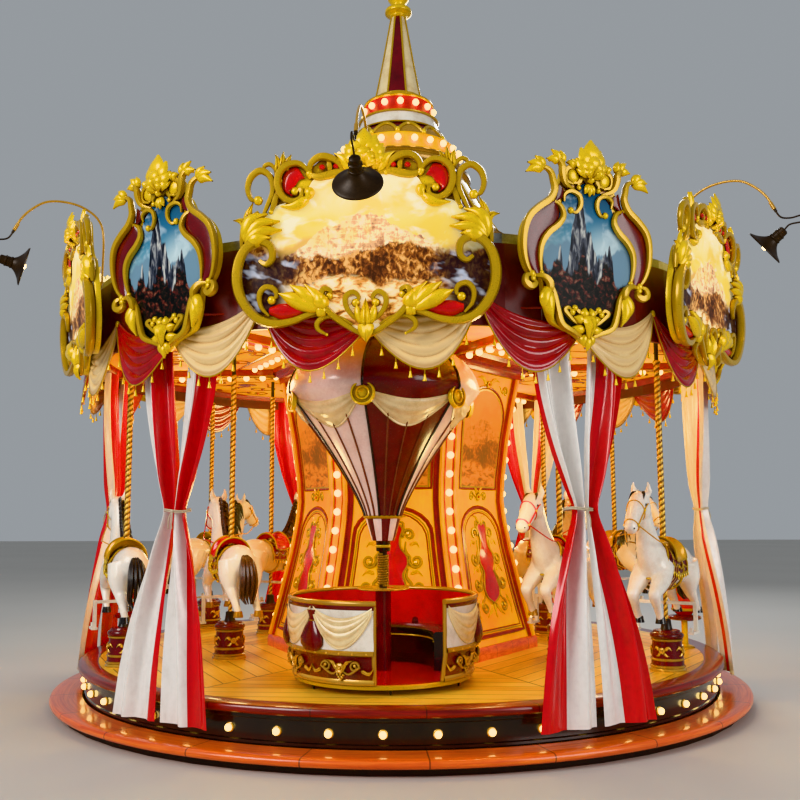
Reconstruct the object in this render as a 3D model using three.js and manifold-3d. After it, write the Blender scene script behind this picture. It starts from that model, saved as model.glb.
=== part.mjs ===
// Small fairground carousel: a turning deck with ten rising horses, one balloon gondola,
// a six-sided centre tower, picture shields, moulded swags, curtains, a crown and a spire.
// Millimetres, +Z up. The origin is the middle of the floor face, and the front is towards -Y.
import * as THREE from 'three';
import { mergeVertices } from 'three/addons/utils/BufferGeometryUtils.js';
import Module from 'manifold-3d';

const wasm = await Module();
wasm.setup();

// Driving dimensions
const SEAT = 0.3; // gap between faces that rest on each other
const SECTORS = 6;
const STEP_R = 2830;
const STEP_IN = 2592;
const STEP_TOP = 100;
const STEP_THICK = 50;
const FOOT_OUT = 2760;
const FOOT_IN = 2640;
const HUB_R = 420;
const HUB_TOP = 180;
const BEAM_W = 100;
const DECK_R = 2631;
const DECK_TOP = 337;
const DECK_THICK = 52;
const DECK_BORDER = 150;
const RISER_R = 2570;
const RISER_THICK = 25;
const RISER_FOOT = 70;
const TOWER_CORNER = { plinth: 1165, foot: 1140, waist: 889, top: 1048, cornice: 1180 };
const TOWER_Z = { plinth: 436, waist: 1574, top: 2620 };
const CEILING_Z = 2750;
const CEILING_THICK = 30;
const FASCIA_IN = 2600;
const FASCIA_OUT = 2630;
const FASCIA_Z = [2622, 3150];
const SWAGS = 24;
const SWAG_DROP = 272;
const SWAG_BULGE = 34;
const SHIELD_LEAN = THREE.MathUtils.degToRad(4);
const SHIELD_BACK = 2696;
const SHIELD_THICK = 55;
const SHIELD_MID_Z = 3150;
const POLE_R = 24;
const ROD_R = 16;
const ROD_GAP = 0.4;
const POLE_SIDES = 8;
const HORSE_RADII = { outer: 2330, inner: 1510 };
const HORSE_ANGLES = [60, 120, 180, 240, 300];
const DRUM_R = 118;
const DRUM_TOP = 610;
const DRUM_CAP_TOP = 700;
const PEDESTAL_AT = 2400;
const PEDESTAL_FOOT_R = 75;
const PEDESTAL_DISC_R = 135;
const PEDESTAL_DRUM_R = 92;
const GONDOLA_AT = 1640;
const GONDOLA_R = 660;
const GONDOLA_FOOT_R = 612;
const GONDOLA_HIP_Z = 560;
const GONDOLA_RIM = 930;
const GONDOLA_FLOOR = [372, 405];
const GONDOLA_WALL = 26;
const DOOR_ANGLES = [0, 44];
const POST_R = 45;
const WHEEL_R = 184;
const WHEEL_Z = 948;
const BALLOON_R = 680;
const BALLOON_NECK_R = 126;
const CONE_Z = 5226;
const BALLOON_WIDE_Z = 2310;
const BALLOON_CAP = 418;
const LAMP_AT = 3140;
const LAMP_Z = 3330;
const LAMP_R = 148;
const LAMP_DOWN = [32, 38, 30, 30, 30, 14];
const ARM_TUBE_R = 9;
const ARM_FLEX_R = 6;

// Finishes
const finishes = {
  mahogany: [0x5b1710, 0.25, 0.0],
  dark: [0x15100e, 0.6, 0.2],
  steel: [0x8b8f93, 0.45, 0.8],
  planks: [0xb58a45, 0.5, 0.0],
  orange: [0xf0a018, 0.35, 0.0],
  maroon: [0x6c0f12, 0.25, 0.0],
  gold: [0xd9a026, 0.3, 0.7],
  cream: [0xf0e2c0, 0.35, 0.0],
  vinyl: [0xd8121a, 0.25, 0.0],
  white: [0xf3efe8, 0.3, 0.0],
  black: [0x111111, 0.3, 0.3],
};

const material = Object.fromEntries(
  Object.entries(finishes).map(([name, [color, roughness, metalness]]) => [
    name,
    new THREE.MeshStandardMaterial({ name, color, roughness, metalness }),
  ]),
);

const carousel = new THREE.Group();

// Adds one piece to the model under its node name.
function addPiece(name, geometry, finish, parent = carousel) {
  const mesh = new THREE.Mesh(geometry, material[finish]);
  mesh.name = name;
  parent.add(mesh);
  return mesh;
}

// A point at a radius and an angle from the front, positive to the right.
function polar(radius, degrees, z = 0) {
  const a = THREE.MathUtils.degToRad(degrees);
  return new THREE.Vector3(radius * Math.sin(a), -radius * Math.cos(a), z);
}

// Bare positions with shared vertices, turned the right way out.
function closed(geometry) {
  const bare = new THREE.BufferGeometry();
  const source = geometry.index ? geometry.toNonIndexed() : geometry;
  bare.setAttribute('position', source.getAttribute('position').clone());
  const merged = mergeVertices(bare, 1e-3);
  const p = merged.getAttribute('position');
  const kept = [];
  let volume = 0;
  const [a, b, c] = [new THREE.Vector3(), new THREE.Vector3(), new THREE.Vector3()];
  for (let i = 0; i < merged.index.count; i += 3) {
    const t = [0, 1, 2].map((k) => merged.index.getX(i + k));
    if (t[0] === t[1] || t[1] === t[2] || t[0] === t[2]) continue;
    kept.push(t);
    [a, b, c].forEach((v, k) => v.fromBufferAttribute(p, t[k]));
    volume += a.dot(b.cross(c));
  }
  merged.setIndex(kept.flatMap((t) => (volume < 0 ? [t[0], t[2], t[1]] : t)));
  return merged;
}

function toSolid(geometry) {
  const g = closed(geometry);
  return new wasm.Manifold(
    new wasm.Mesh({
      numProp: 3,
      vertProperties: new Float32Array(g.getAttribute('position').array),
      triVerts: new Uint32Array(g.index.array),
    }),
  );
}

function fromSolid(solid) {
  const mesh = solid.getMesh();
  const g = new THREE.BufferGeometry();
  g.setAttribute('position', new THREE.BufferAttribute(new Float32Array(mesh.vertProperties), 3));
  g.setIndex([...mesh.triVerts]);
  return g;
}

function join(geometries) {
  return fromSolid(geometries.map(toSolid).reduce((all, s) => all.add(s)));
}

function cut(geometry, cutters) {
  return fromSolid(cutters.map(toSolid).reduce((left, s) => left.subtract(s), toSolid(geometry)));
}

// A profile of [radius, height] points turned about Z, with a vertex at the angle phase.
function turned(profile, sides = 48, phase = 0) {
  const points = profile.map(([r, z]) => new THREE.Vector2(r, z));
  const g = new THREE.LatheGeometry(points, sides, THREE.MathUtils.degToRad(phase), Math.PI * 2);
  return closed(g.rotateX(Math.PI / 2));
}

// A ring of flat sides given by its inner and outer radius at the corners.
function ring(inner, outer, z0, z1, sides = 48, phase = 0) {
  return turned([[inner, z0], [outer, z0], [outer, z1], [inner, z1], [inner, z0]], sides, phase);
}

function disc(radius, z0, z1, sides = 48, phase = 0) {
  return turned([[0, z0], [radius, z0], [radius, z1], [0, z1]], sides, phase);
}

function block(sx, sy, sz, x = 0, y = 0, z = 0) {
  return new THREE.BoxGeometry(sx, sy, sz).translate(x, y, z);
}

// A straight bar from a to b with a radius at each end.
function bar(a, b, ra, rb = ra, sides = 6) {
  const along = new THREE.Vector3().subVectors(b, a);
  const g = new THREE.CylinderGeometry(rb, ra, along.length(), sides);
  const turn = new THREE.Quaternion().setFromUnitVectors(new THREE.Vector3(0, 1, 0), along.clone().normalize());
  const middle = new THREE.Vector3().addVectors(a, b).multiplyScalar(0.5);
  return g.applyQuaternion(turn).translate(middle.x, middle.y, middle.z);
}

// A closed skin over rings of points, with a flat fan on each end.
function loft(rings) {
  const n = rings[0].length;
  const flat = rings.flat().flatMap((p) => [p.x, p.y, p.z]);
  const index = [];
  for (let i = 0; i < rings.length - 1; i++) {
    for (let j = 0; j < n; j++) {
      const k = (j + 1) % n;
      const [a, b, c, d] = [i * n + j, i * n + k, (i + 1) * n + k, (i + 1) * n + j];
      index.push(a, b, c, a, c, d);
    }
  }
  for (const [first, flip] of [[0, true], [(rings.length - 1) * n, false]]) {
    for (let j = 1; j < n - 1; j++) {
      index.push(first, ...(flip ? [first + j + 1, first + j] : [first + j, first + j + 1]));
    }
  }
  const g = new THREE.BufferGeometry();
  g.setAttribute('position', new THREE.BufferAttribute(new Float32Array(flat), 3));
  g.setIndex(index);
  return closed(g);
}

// Fixed base: a centre bearing stand, floor beams, a dark foot ring and the polished step.
function buildBase() {
  const parts = [disc(HUB_R, 0, HUB_TOP, 24), ring(FOOT_IN, FOOT_OUT, 0, STEP_TOP - STEP_THICK - SEAT, 48)];
  for (let i = 0; i < SECTORS; i++) {
    const beam = block(BEAM_W, FOOT_IN, 45, 0, -FOOT_IN / 2 - 20, 22.5);
    parts.push(beam.rotateZ((i * 2 * Math.PI) / SECTORS));
  }
  addPiece('base_frame', join(parts), 'dark');
  addPiece('step_ring', ring(STEP_IN, STEP_R, STEP_TOP - STEP_THICK, STEP_TOP, 60), 'mahogany');
}

// Turning deck: hub and spokes, riser skirt, planked floor with drums, border ring.
function buildDeck() {
  const under = DECK_TOP - DECK_THICK;
  const spokes = [disc(HUB_R - 30, HUB_TOP + SEAT, under - SEAT, 24)];
  for (let i = 0; i < 2 * SECTORS; i++) {
    const length = RISER_R - RISER_THICK - 10;
    const spoke = block(60, length, 80, 0, -length / 2, under - SEAT - 40);
    spokes.push(spoke.rotateZ((i * Math.PI) / SECTORS));
  }
  addPiece('turntable_frame', join(spokes), 'steel');
  addPiece('riser_skirt', ring(RISER_R - RISER_THICK, RISER_R, RISER_FOOT, under - SEAT, 60), 'dark');
  const seat = DECK_R - DECK_BORDER;
  addPiece('deck_border', ring(seat, DECK_R, under, DECK_TOP, 60), 'mahogany');
  const floor = [disc(seat - SEAT, under, DECK_TOP, 60)];
  const bores = [];
  for (const { angle, x, y } of polePlaces()) {
    floor.push(drum().translate(x, y, 0));
    const bore = disc(ROD_R + ROD_GAP, DECK_TOP + 8, DRUM_CAP_TOP + 50, POLE_SIDES, angle);
    bores.push(bore.translate(x, y, 0));
  }
  for (const side of [-1, 1]) floor.push(pedestal().translate(side * PEDESTAL_AT, 0, 0));
  addPiece('deck_with_drums', cut(join(floor), bores), 'planks');
}

// A turned stand with a disc and a small drum on it, at each side of the deck.
function pedestal() {
  const z = DECK_TOP - 5;
  return turned([
    [0, z], [PEDESTAL_FOOT_R, z], [PEDESTAL_FOOT_R, z + 17], [26, z + 30], [26, 560], [PEDESTAL_DISC_R, 572],
    [PEDESTAL_DISC_R, 596], [60, 612], [PEDESTAL_DRUM_R, 640], [PEDESTAL_DRUM_R + 8, 960], [0, 975],
  ], 12);
}

function drum() {
  const z = DECK_TOP - 5;
  return turned([
    [0, z], [DRUM_R, z], [DRUM_R - 14, DRUM_TOP], [98, DRUM_TOP], [90, DRUM_TOP + 14],
    [40, DRUM_TOP + 20], [34, DRUM_CAP_TOP], [0, DRUM_CAP_TOP],
  ], 10);
}

function polePlaces() {
  return ['outer', 'inner'].flatMap((row) =>
    HORSE_ANGLES.map((angle) => ({ row, angle, ...xy(polar(HORSE_RADII[row], angle)) })),
  );
}

function xy(v) {
  return { x: v.x, y: v.y };
}

// Hourglass tower with six sides, a flat side to the front.
function buildTower() {
  const phase = 180 / SECTORS;
  const z = TOWER_Z;
  const r = TOWER_CORNER;
  addPiece('tower_plinth', disc(r.plinth, DECK_TOP + SEAT, z.plinth, SECTORS, phase), 'mahogany');
  const body = [[0, z.plinth + SEAT], [r.foot, z.plinth + SEAT], [r.waist, z.waist], [r.top, z.top], [0, z.top]];
  addPiece('tower_housing', turned(body, SECTORS, phase), 'orange');
  const cap = [
    [0, z.top + SEAT], [r.top + 30, z.top + SEAT], [r.top + 40, z.top + 50],
    [r.cornice, CEILING_Z - SEAT], [0, CEILING_Z - SEAT],
  ];
  addPiece('tower_cornice', turned(cap, SECTORS, phase), 'mahogany');
}

// Flat ceiling with a running hole for each pole.
function buildCeiling() {
  const [low, high] = [CEILING_Z - 20, CEILING_Z + CEILING_THICK + 20];
  const holes = polePlaces().map(({ angle, x, y }) =>
    disc(ROD_R + ROD_GAP, low, high, POLE_SIDES, angle).translate(x, y, 0),
  );
  const plate = disc(FASCIA_IN - SEAT, CEILING_Z, CEILING_Z + CEILING_THICK, 48, 3.75);
  addPiece('ceiling', cut(plate, holes), 'orange');
}

// Maroon fascia ring and the scalloped row of moulded swags under it.
function buildFascia() {
  addPiece('fascia', ring(FASCIA_IN, FASCIA_OUT, FASCIA_Z[0] + SEAT, FASCIA_Z[1], 48, 3.75), 'maroon');
  addPiece('valance', valance(), 'cream');
}

function valance() {
  const perSwag = 4;
  const top = FASCIA_Z[0];
  const rings = [];
  for (let i = 0; i < SWAGS * perSwag; i++) {
    const share = (i % perSwag) / perSwag;
    const belly = Math.sin(Math.PI * share);
    const low = top - 90 - (SWAG_DROP - 90) * belly;
    const out = FASCIA_OUT + 4 + SWAG_BULGE * belly;
    const a = (i * 360) / (SWAGS * perSwag);
    rings.push([
      polar(FASCIA_IN, a, top), polar(FASCIA_IN, a, low), polar(out, a, low), polar(out, a, low + (top - low) * 0.45), polar(FASCIA_OUT - 2, a, top),
    ]);
  }
  return hoop(rings);
}

// A closed band made of rings of points that go round and meet.
function hoop(rings) {
  const n = rings[0].length;
  const flat = rings.flat().flatMap((p) => [p.x, p.y, p.z]);
  const index = [];
  for (let i = 0; i < rings.length; i++) {
    const next = (i + 1) % rings.length;
    for (let j = 0; j < n; j++) {
      const k = (j + 1) % n;
      const [a, b, c, d] = [i * n + j, i * n + k, next * n + k, next * n + j];
      index.push(a, b, c, a, c, d);
    }
  }
  const g = new THREE.BufferGeometry();
  g.setAttribute('position', new THREE.BufferAttribute(new Float32Array(flat), 3));
  g.setIndex(index);
  return closed(g);
}

// Right half of a shield's outline from its top to its bottom, mirrored for the left half.
const WIDE_OUTLINE = [
  [0, 655], [90, 590], [125, 500], [290, 505], [430, 480], [560, 500], [650, 470], [740, 400],
  [735, 290], [815, 205], [800, 100], [765, 0], [795, -150], [795, -290], [745, -440], [640, -535],
  [470, -550], [330, -570], [200, -550], [110, -560], [0, -635],
];
const NARROW_OUTLINE = [
  [0, 640], [100, 560], [120, 485], [215, 525], [300, 490], [400, 435], [305, 365], [295, 265],
  [435, 150], [500, 10], [490, -120], [440, -210], [435, -280], [330, -350], [255, -400],
  [195, -505], [100, -545], [55, -620], [0, -655],
];

function shieldPlate(outline) {
  const right = outline.map(([x, z]) => new THREE.Vector2(x, z));
  const left = outline.slice(1, -1).reverse().map(([x, z]) => new THREE.Vector2(-x, z));
  const shape = new THREE.Shape([...right, ...left]);
  return new THREE.ExtrudeGeometry(shape, { depth: SHIELD_THICK, bevelEnabled: false, steps: 1 });
}

// Shields stand out from the fascia on a bracket, wide and narrow in turn.
function buildShields() {
  const flat = (FASCIA_OUT * Math.cos(Math.PI / 48)) + SEAT;
  for (let i = 0; i < 2 * SECTORS; i++) {
    const wide = i % 2 === 0;
    const plate = shieldPlate(wide ? WIDE_OUTLINE : NARROW_OUTLINE);
    plate.rotateX(Math.PI / 2 + SHIELD_LEAN);
    plate.translate(0, -SHIELD_BACK, SHIELD_MID_Z);
    const depth = SHIELD_BACK + 25 - flat;
    const bracket = block(200, depth, 120, 0, -flat - depth / 2, SHIELD_MID_Z - 90);
    const shield = join([plate, bracket]).rotateZ((i * Math.PI) / SECTORS);
    const name = `shield_${wide ? 'wide' : 'narrow'}_${Math.floor(i / 2) + 1}`;
    addPiece(name, shield, 'gold');
  }
}

// Steel roof frame: posts on the ceiling, an inner ring, rafters and an eaves ring.
const INNER_RING_R = 985;
const INNER_RING_Z = 3780;
const EAVES_R = 2575;
const EAVES_Z = 3180;
const EAVES_TOP = 3225;

function buildRoofFrame() {
  const parts = [
    ring(INNER_RING_R - 25, INNER_RING_R + 25, INNER_RING_Z - 20, INNER_RING_Z + 20, 24),
    ring(EAVES_R - 20, EAVES_R + 20, EAVES_Z - 20, EAVES_TOP, 48, 3.75),
  ];
  const floor = CEILING_Z + CEILING_THICK + SEAT;
  for (let i = 0; i < 2 * SECTORS; i++) {
    const a = (i * 180) / SECTORS + 15;
    parts.push(bar(polar(INNER_RING_R - 10, a, INNER_RING_Z - 14), polar(EAVES_R - 12, a, EAVES_Z - 18), 20, 20, 4));
    parts.push(bar(polar(EAVES_R - 6, a, floor), polar(EAVES_R - 6, a, EAVES_Z), 18, 18, 4));
  }
  for (let i = 0; i < SECTORS; i++) {
    const a = (i * 360) / SECTORS + 15;
    parts.push(bar(polar(INNER_RING_R, a, floor), polar(INNER_RING_R, a, INNER_RING_Z), 24, 24, 4));
  }
  addPiece('roof_frame', join(parts), 'steel');
}

// Six lamps on the eaves ring. Each has a curved tube, a looped gooseneck and a flared shade
// that looks down at its shield.
function buildLamps() {
  const foot = EAVES_TOP + SEAT;
  const tube = [
    [EAVES_R, foot + 4], [EAVES_R, 3620], [2620, 3765], [2735, 3846], [2870, 3872], [3000, 3856],
    [3100, 3790], [3175, 3705], [3222, 3610],
  ];
  const flex = [[3218, 3620], [3262, 3540], [3330, 3520], [3405, 3525], [3425, 3482]];
  const shade = [
    [0, 80], [30, 80], [56, 50], [97, 21], [LAMP_R - 8, 0], [LAMP_R, 0], [LAMP_R, 6], [102, 29],
    [62, 59], [38, 90], [35, 178], [22, 186], [0, 186],
  ];
  for (let i = 0; i < SECTORS; i++) {
    const down = THREE.MathUtils.degToRad(LAMP_DOWN[i]);
    const back = (t) => [LAMP_AT + t * Math.cos(down), LAMP_Z + t * Math.sin(down)];
    const head = turned(shade, 10).rotateX(Math.PI / 2 - down).translate(0, -LAMP_AT, LAMP_Z);
    const lamp = join([
      block(90, 38, 8, 0, -EAVES_R, foot + 4),
      sweep(inPlane(tube), ARM_TUBE_R, 4, 11),
      sweep(inPlane([...flex, back(235), back(180)]), ARM_FLEX_R, 4, 10),
      bar(new THREE.Vector3(0, -3200, 3655), new THREE.Vector3(0, -3226, 3602), ARM_TUBE_R + 5),
      head,
    ]);
    addPiece(`gooseneck_lamp_${i + 1}`, lamp.rotateZ((i * 2 * Math.PI) / SECTORS), 'black');
  }
}

// A smooth curve through points of radius and height in the plane of the front.
function inPlane(points) {
  return new THREE.CatmullRomCurve3(points.map(([r, z]) => new THREE.Vector3(0, -r, z)));
}

// A round tube along a curve.
function sweep(curve, radius, sides, steps) {
  const section = new THREE.Shape();
  for (let i = 0; i < sides; i++) {
    const a = (i * 2 * Math.PI) / sides;
    const [x, y] = [radius * Math.cos(a), radius * Math.sin(a)];
    if (i === 0) section.moveTo(x, y);
    else section.lineTo(x, y);
  }
  return closed(new THREE.ExtrudeGeometry(section, { extrudePath: curve, steps, bevelEnabled: false }));
}

// Gored dome, ringed crown, cone spire and finial.
function buildCrown() {
  const foot = INNER_RING_Z + 20 + SEAT;
  const dome = [
    [INNER_RING_R + 20, foot], [INNER_RING_R - 30, foot + 40], [860, 3990], [760, 4160], [660, 4330],
    [600, 4420], [0, 4420], [0, 4390], [570, 4390], [630, 4300], [730, 4130], [830, 3960],
    [INNER_RING_R - 80, foot + 30], [INNER_RING_R - 25, foot], [INNER_RING_R + 20, foot],
  ];
  addPiece('crown_dome', turned(dome, 24), 'maroon');
  const lower = [
    [0, 4420 + SEAT], [640, 4420 + SEAT], [650, 4470], [620, 4520], [540, 4560], [560, 4610],
    [540, 4700], [500, 4750], [440, 4765], [0, 4765],
  ];
  addPiece('lower_light_ring', turned(lower, 24), 'gold');
  const upper = [
    [0, 4765 + SEAT], [440, 4765 + SEAT], [410, 4870], [355, 4890], [370, 5005], [320, 5025],
    [325, 5075], [300, 5175], [240, CONE_Z], [0, CONE_Z],
  ];
  addPiece('upper_light_ring', turned(upper, 24), 'gold');
  addPiece('spire_cone', turned([[0, CONE_Z + SEAT], [222, CONE_Z + SEAT], [68, 6050], [0, 6050]], 16), 'maroon');
  const finial = [
    [0, 6050 + SEAT], [70, 6050 + SEAT], [120, 6090], [122, 6130], [70, 6160], [60, 6185],
    [95, 6230], [100, 6290], [70, 6350], [0, 6380],
  ];
  addPiece('finial', turned(finial, 16), 'gold');
}

// Curtains: each is gathered at a tie and flares over the deck's edge.
const CURTAIN_LEVELS = [
  // height, half width, half thickness, distance from the axis
  [180, 430, 24, 2672], [320, 420, 26, 2672], [560, 370, 34, 2655], [900, 285, 44, 2620],
  [1250, 170, 50, 2590], [1490, 98, 46, 2575], [1700, 165, 46, 2565], [2050, 262, 40, 2560],
  [2400, 310, 34, 2560], [CEILING_Z - SEAT, 322, 30, 2558],
];

function buildCurtains() {
  const sides = 16;
  for (let i = 0; i < SECTORS; i++) {
    const rings = CURTAIN_LEVELS.map(([z, half, thick, out]) =>
      Array.from({ length: sides }, (_, j) => {
        const a = (j * 2 * Math.PI) / sides;
        return new THREE.Vector3(half * Math.cos(a), -out + thick * Math.sin(a), z);
      }),
    );
    const cloth = loft(rings).rotateZ(((i + 0.5) * 2 * Math.PI) / SECTORS);
    addPiece(`curtain_${i + 1}`, cloth, 'vinyl');
  }
}

// Balloon gondola: floor on castors, tub with a doorway, bench, post, wheel and balloon.
function buildGondola() {
  const group = new THREE.Group();
  group.position.set(0, -GONDOLA_AT, 0);
  carousel.add(group);
  const [under, top] = GONDOLA_FLOOR;
  const floor = [ring(POST_R + 6, GONDOLA_FOOT_R, under, top, 36)];
  for (let i = 0; i < SECTORS; i++) {
    const p = polar(GONDOLA_FOOT_R - 60, i * 60 + 10);
    floor.push(disc(22, DECK_TOP + SEAT, under + 5, 6).translate(p.x, p.y, 0));
  }
  addPiece('gondola_floor', join(floor), 'gold', group);
  addPiece('gondola_tub', tub(top + SEAT), 'cream', group);
  addPiece('gondola_bench', bench(top + SEAT), 'black', group);
  const post = [
    [0, DECK_TOP + SEAT], [POST_R, DECK_TOP + SEAT], [POST_R, WHEEL_Z - SEAT], [28, WHEEL_Z - SEAT],
    [28, 1208], [0, 1208],
  ];
  addPiece('gondola_post', turned(post, 24), 'maroon', group);
  addPiece('hand_wheel', ring(28 + SEAT, WHEEL_R, WHEEL_Z, WHEEL_Z + 12, 24), 'gold', group);
  addPiece('balloon', balloon(), 'maroon', group);
}

// Part of a ring between two angles, from a closed profile of [radius, height] points.
function arcOf(profile, [from, to], step = 12) {
  const count = Math.max(1, Math.round((to - from) / step));
  return loft(Array.from({ length: count + 1 }, (_, i) => {
    const a = from + ((to - from) * i) / count;
    return profile.map(([r, z]) => polar(r, a, z));
  }));
}

function tub(z0) {
  const [foot, hip] = [GONDOLA_FOOT_R, GONDOLA_R - 12];
  const [edge, low] = [GONDOLA_RIM, GONDOLA_RIM - 34];
  const wall = [
    [foot - GONDOLA_WALL, z0], [foot, z0], [hip, GONDOLA_HIP_Z], [hip, low], [GONDOLA_R + 12, low],
    [GONDOLA_R + 12, edge], [hip - GONDOLA_WALL - 16, edge], [hip - GONDOLA_WALL - 16, low],
    [hip - GONDOLA_WALL, low], [hip - GONDOLA_WALL, GONDOLA_HIP_Z],
  ];
  return arcOf(wall, [DOOR_ANGLES[1], DOOR_ANGLES[0] + 360]);
}

function bench(z0) {
  const back = GONDOLA_FOOT_R - GONDOLA_WALL - 5;
  const seat = [[350, z0], [back, z0], [back, 660], [350, 660]];
  return arcOf(seat, [DOOR_ANGLES[1] + 40, DOOR_ANGLES[0] + 320]);
}

function balloon() {
  const profile = [
    [0, 1208 + SEAT], [46, 1208 + SEAT], [50, 1278], [82, 1280], [120, 1432], [BALLOON_NECK_R, 1445],
  ];
  const steps = 7;
  for (let i = 1; i <= steps; i++) {
    const share = i / steps;
    const r = BALLOON_NECK_R + (BALLOON_R - BALLOON_NECK_R) * share ** 1.25;
    profile.push([r, 1445 + (BALLOON_WIDE_Z - 1445) * share]);
  }
  const capSteps = 6;
  for (let i = 1; i <= capSteps; i++) {
    const a = (i * Math.PI) / 2 / capSteps;
    profile.push([i === capSteps ? 0 : BALLOON_R * Math.cos(a), BALLOON_WIDE_Z + BALLOON_CAP * Math.sin(a)]);
  }
  return turned(profile, 20);
}

// One horse with its pole, in its own frame: +X ahead, the pole on the Z axis.
// Body rings from the rump to the muzzle: x, z, half width, half height, lean of the ring.
const HORSE_RINGS = [
  [-395, 1100, 40, 50, 0], [-340, 1095, 105, 120, 0], [-200, 1075, 132, 150, 0], [20, 1050, 130, 145, 0],
  [200, 1085, 122, 160, -15], [300, 1190, 92, 140, -45], [370, 1340, 68, 105, -62], [410, 1480, 58, 90, -50],
  [480, 1525, 56, 82, 10], [560, 1440, 44, 60, 35], [640, 1370, 34, 42, 40],
];
const HORSE_SIDES = 6;

function horseBody() {
  return loft(HORSE_RINGS.map(([x, z, half, high, lean]) => {
    const tilt = THREE.MathUtils.degToRad(lean);
    return Array.from({ length: HORSE_SIDES }, (_, j) => {
      const a = (j * 2 * Math.PI) / HORSE_SIDES;
      const up = high * Math.cos(a);
      return new THREE.Vector3(x + up * Math.sin(tilt), half * Math.sin(a), z + up * Math.cos(tilt));
    });
  }));
}

// A leg or tail lofted through centres with a radius at each, square to the ground.
function limb(stations, sides = 4) {
  return loft(stations.map(([x, y, z, r]) =>
    Array.from({ length: sides }, (_, j) => {
      const a = (j * 2 * Math.PI) / sides;
      return new THREE.Vector3(x + r * Math.cos(a), y + r * Math.sin(a) * 0.8, z);
    }),
  ));
}

function horse() {
  const v = (x, y, z) => new THREE.Vector3(x, y, z);
  const parts = [horseBody(), limb([[-500, 0, 820, 40], [-455, 0, 960, 60], [-350, 0, 1120, 34]], 4)];
  for (const side of [-1, 1]) {
    const y = 78 * side;
    parts.push(limb([[340, y, 715, 34], [350, y, 760, 26], [425, y, 905, 38], [225, y, 1060, 62]]));
    parts.push(limb([[-510, y, 715, 34], [-480, y, 760, 26], [-335, y, 890, 44], [-255, y, 1060, 72]]));
    parts.push(limb([[425, 30 * side, 1540, 22], [405, 40 * side, 1690, 4]], 3));
    parts.push(bar(v(0, 215 * side, 834), v(0, 215 * side, 618), 14, 14, 4));
    parts.push(bar(v(0, 215 * side, 625), v(120, 215 * side, 625), 10, 10, 4));
  }
  parts.push(bar(v(0, -228, 820), v(0, 228, 820), 10, 10, 4));
  const [low, mid, high] = [460, 1150, 2600];
  parts.push(turned([[0, low], [ROD_R, low], [ROD_R, mid], [POLE_R, mid], [POLE_R, high], [ROD_R, high],
    [ROD_R, 3000], [0, 3000]], POLE_SIDES));
  return join(parts);
}

function buildHorses() {
  const shape = horse();
  for (const { row, angle, x, y } of polePlaces()) {
    const place = new THREE.Matrix4().makeRotationZ(THREE.MathUtils.degToRad(angle + 180));
    const g = shape.clone().applyMatrix4(place).translate(x, y, 0);
    addPiece(`horse_${row}_${angle}`, closed(g), 'white');
  }
}

buildBase();
buildDeck();
buildTower();
buildCeiling();
buildFascia();
buildShields();
buildRoofFrame();
buildLamps();
buildCrown();
buildCurtains();
buildGondola();
buildHorses();

export default carousel;
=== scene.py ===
import logging
import math
import random
from collections.abc import Callable, Iterable, Sequence
from dataclasses import dataclass
from enum import Enum

import bpy
import numpy as np
from mathutils import Matrix, Vector


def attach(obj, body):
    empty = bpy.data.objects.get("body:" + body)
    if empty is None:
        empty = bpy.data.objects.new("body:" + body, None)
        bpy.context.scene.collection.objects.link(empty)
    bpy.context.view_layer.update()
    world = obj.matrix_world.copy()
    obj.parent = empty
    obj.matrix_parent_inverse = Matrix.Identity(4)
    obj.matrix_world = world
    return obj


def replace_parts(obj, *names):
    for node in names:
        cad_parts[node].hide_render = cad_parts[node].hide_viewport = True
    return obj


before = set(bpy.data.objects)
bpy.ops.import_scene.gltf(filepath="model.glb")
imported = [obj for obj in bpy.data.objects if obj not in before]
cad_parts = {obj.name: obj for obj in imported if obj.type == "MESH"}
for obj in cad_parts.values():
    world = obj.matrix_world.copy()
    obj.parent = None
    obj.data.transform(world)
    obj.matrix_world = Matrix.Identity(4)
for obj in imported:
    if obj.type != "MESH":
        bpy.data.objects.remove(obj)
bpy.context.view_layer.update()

LOG = logging.getLogger("carousel")
SECTORS = 6
SECTOR = 60
HALF_SECTOR = 30
TURN = math.tau
MIRROR = Matrix.Scale(-1, 4, (1, 0, 0))
DECK_TOP = 0.337
HORSE_ROWS = {"outer": 2.33, "inner": 1.51}
HORSE_ANGLES = (60, 120, 180, 240, 300)
Point = Sequence[float]
Colour = tuple[float, float, float, float]


def tone(red: float, green: float, blue: float) -> Colour:
    """A colour from screen values of 0 to 255, as linear light."""
    def linear(v: float) -> float:
        s = v / 255
        return s / 12.92 if s <= 0.04045 else ((s + 0.055) / 1.055) ** 2.4
    return (linear(red), linear(green), linear(blue), 1.0)


def polar(radius: float, degrees: float, z: float = 0.0) -> Vector:
    """A point at a radius and an angle from the front, positive to the right."""
    a = math.radians(degrees)
    return Vector((radius * math.sin(a), -radius * math.cos(a), z))


def facing(degrees: float) -> Matrix:
    """Turns a thing that is built at the front to another angle round the axis."""
    return Matrix.Rotation(math.radians(degrees), 4, "Z")


def between(a: Vector | float, b: Vector | float, c: Vector | float, d: Vector | float,
            t: float) -> Vector | float:
    """A value on the smooth curve from b to c, where a comes before and d after."""
    return 0.5 * (2 * b + (c - a) * t + (2 * a - 5 * b + 4 * c - d) * t * t + (3 * b - a - 3 * c + d)
                  * t ** 3)


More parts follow.
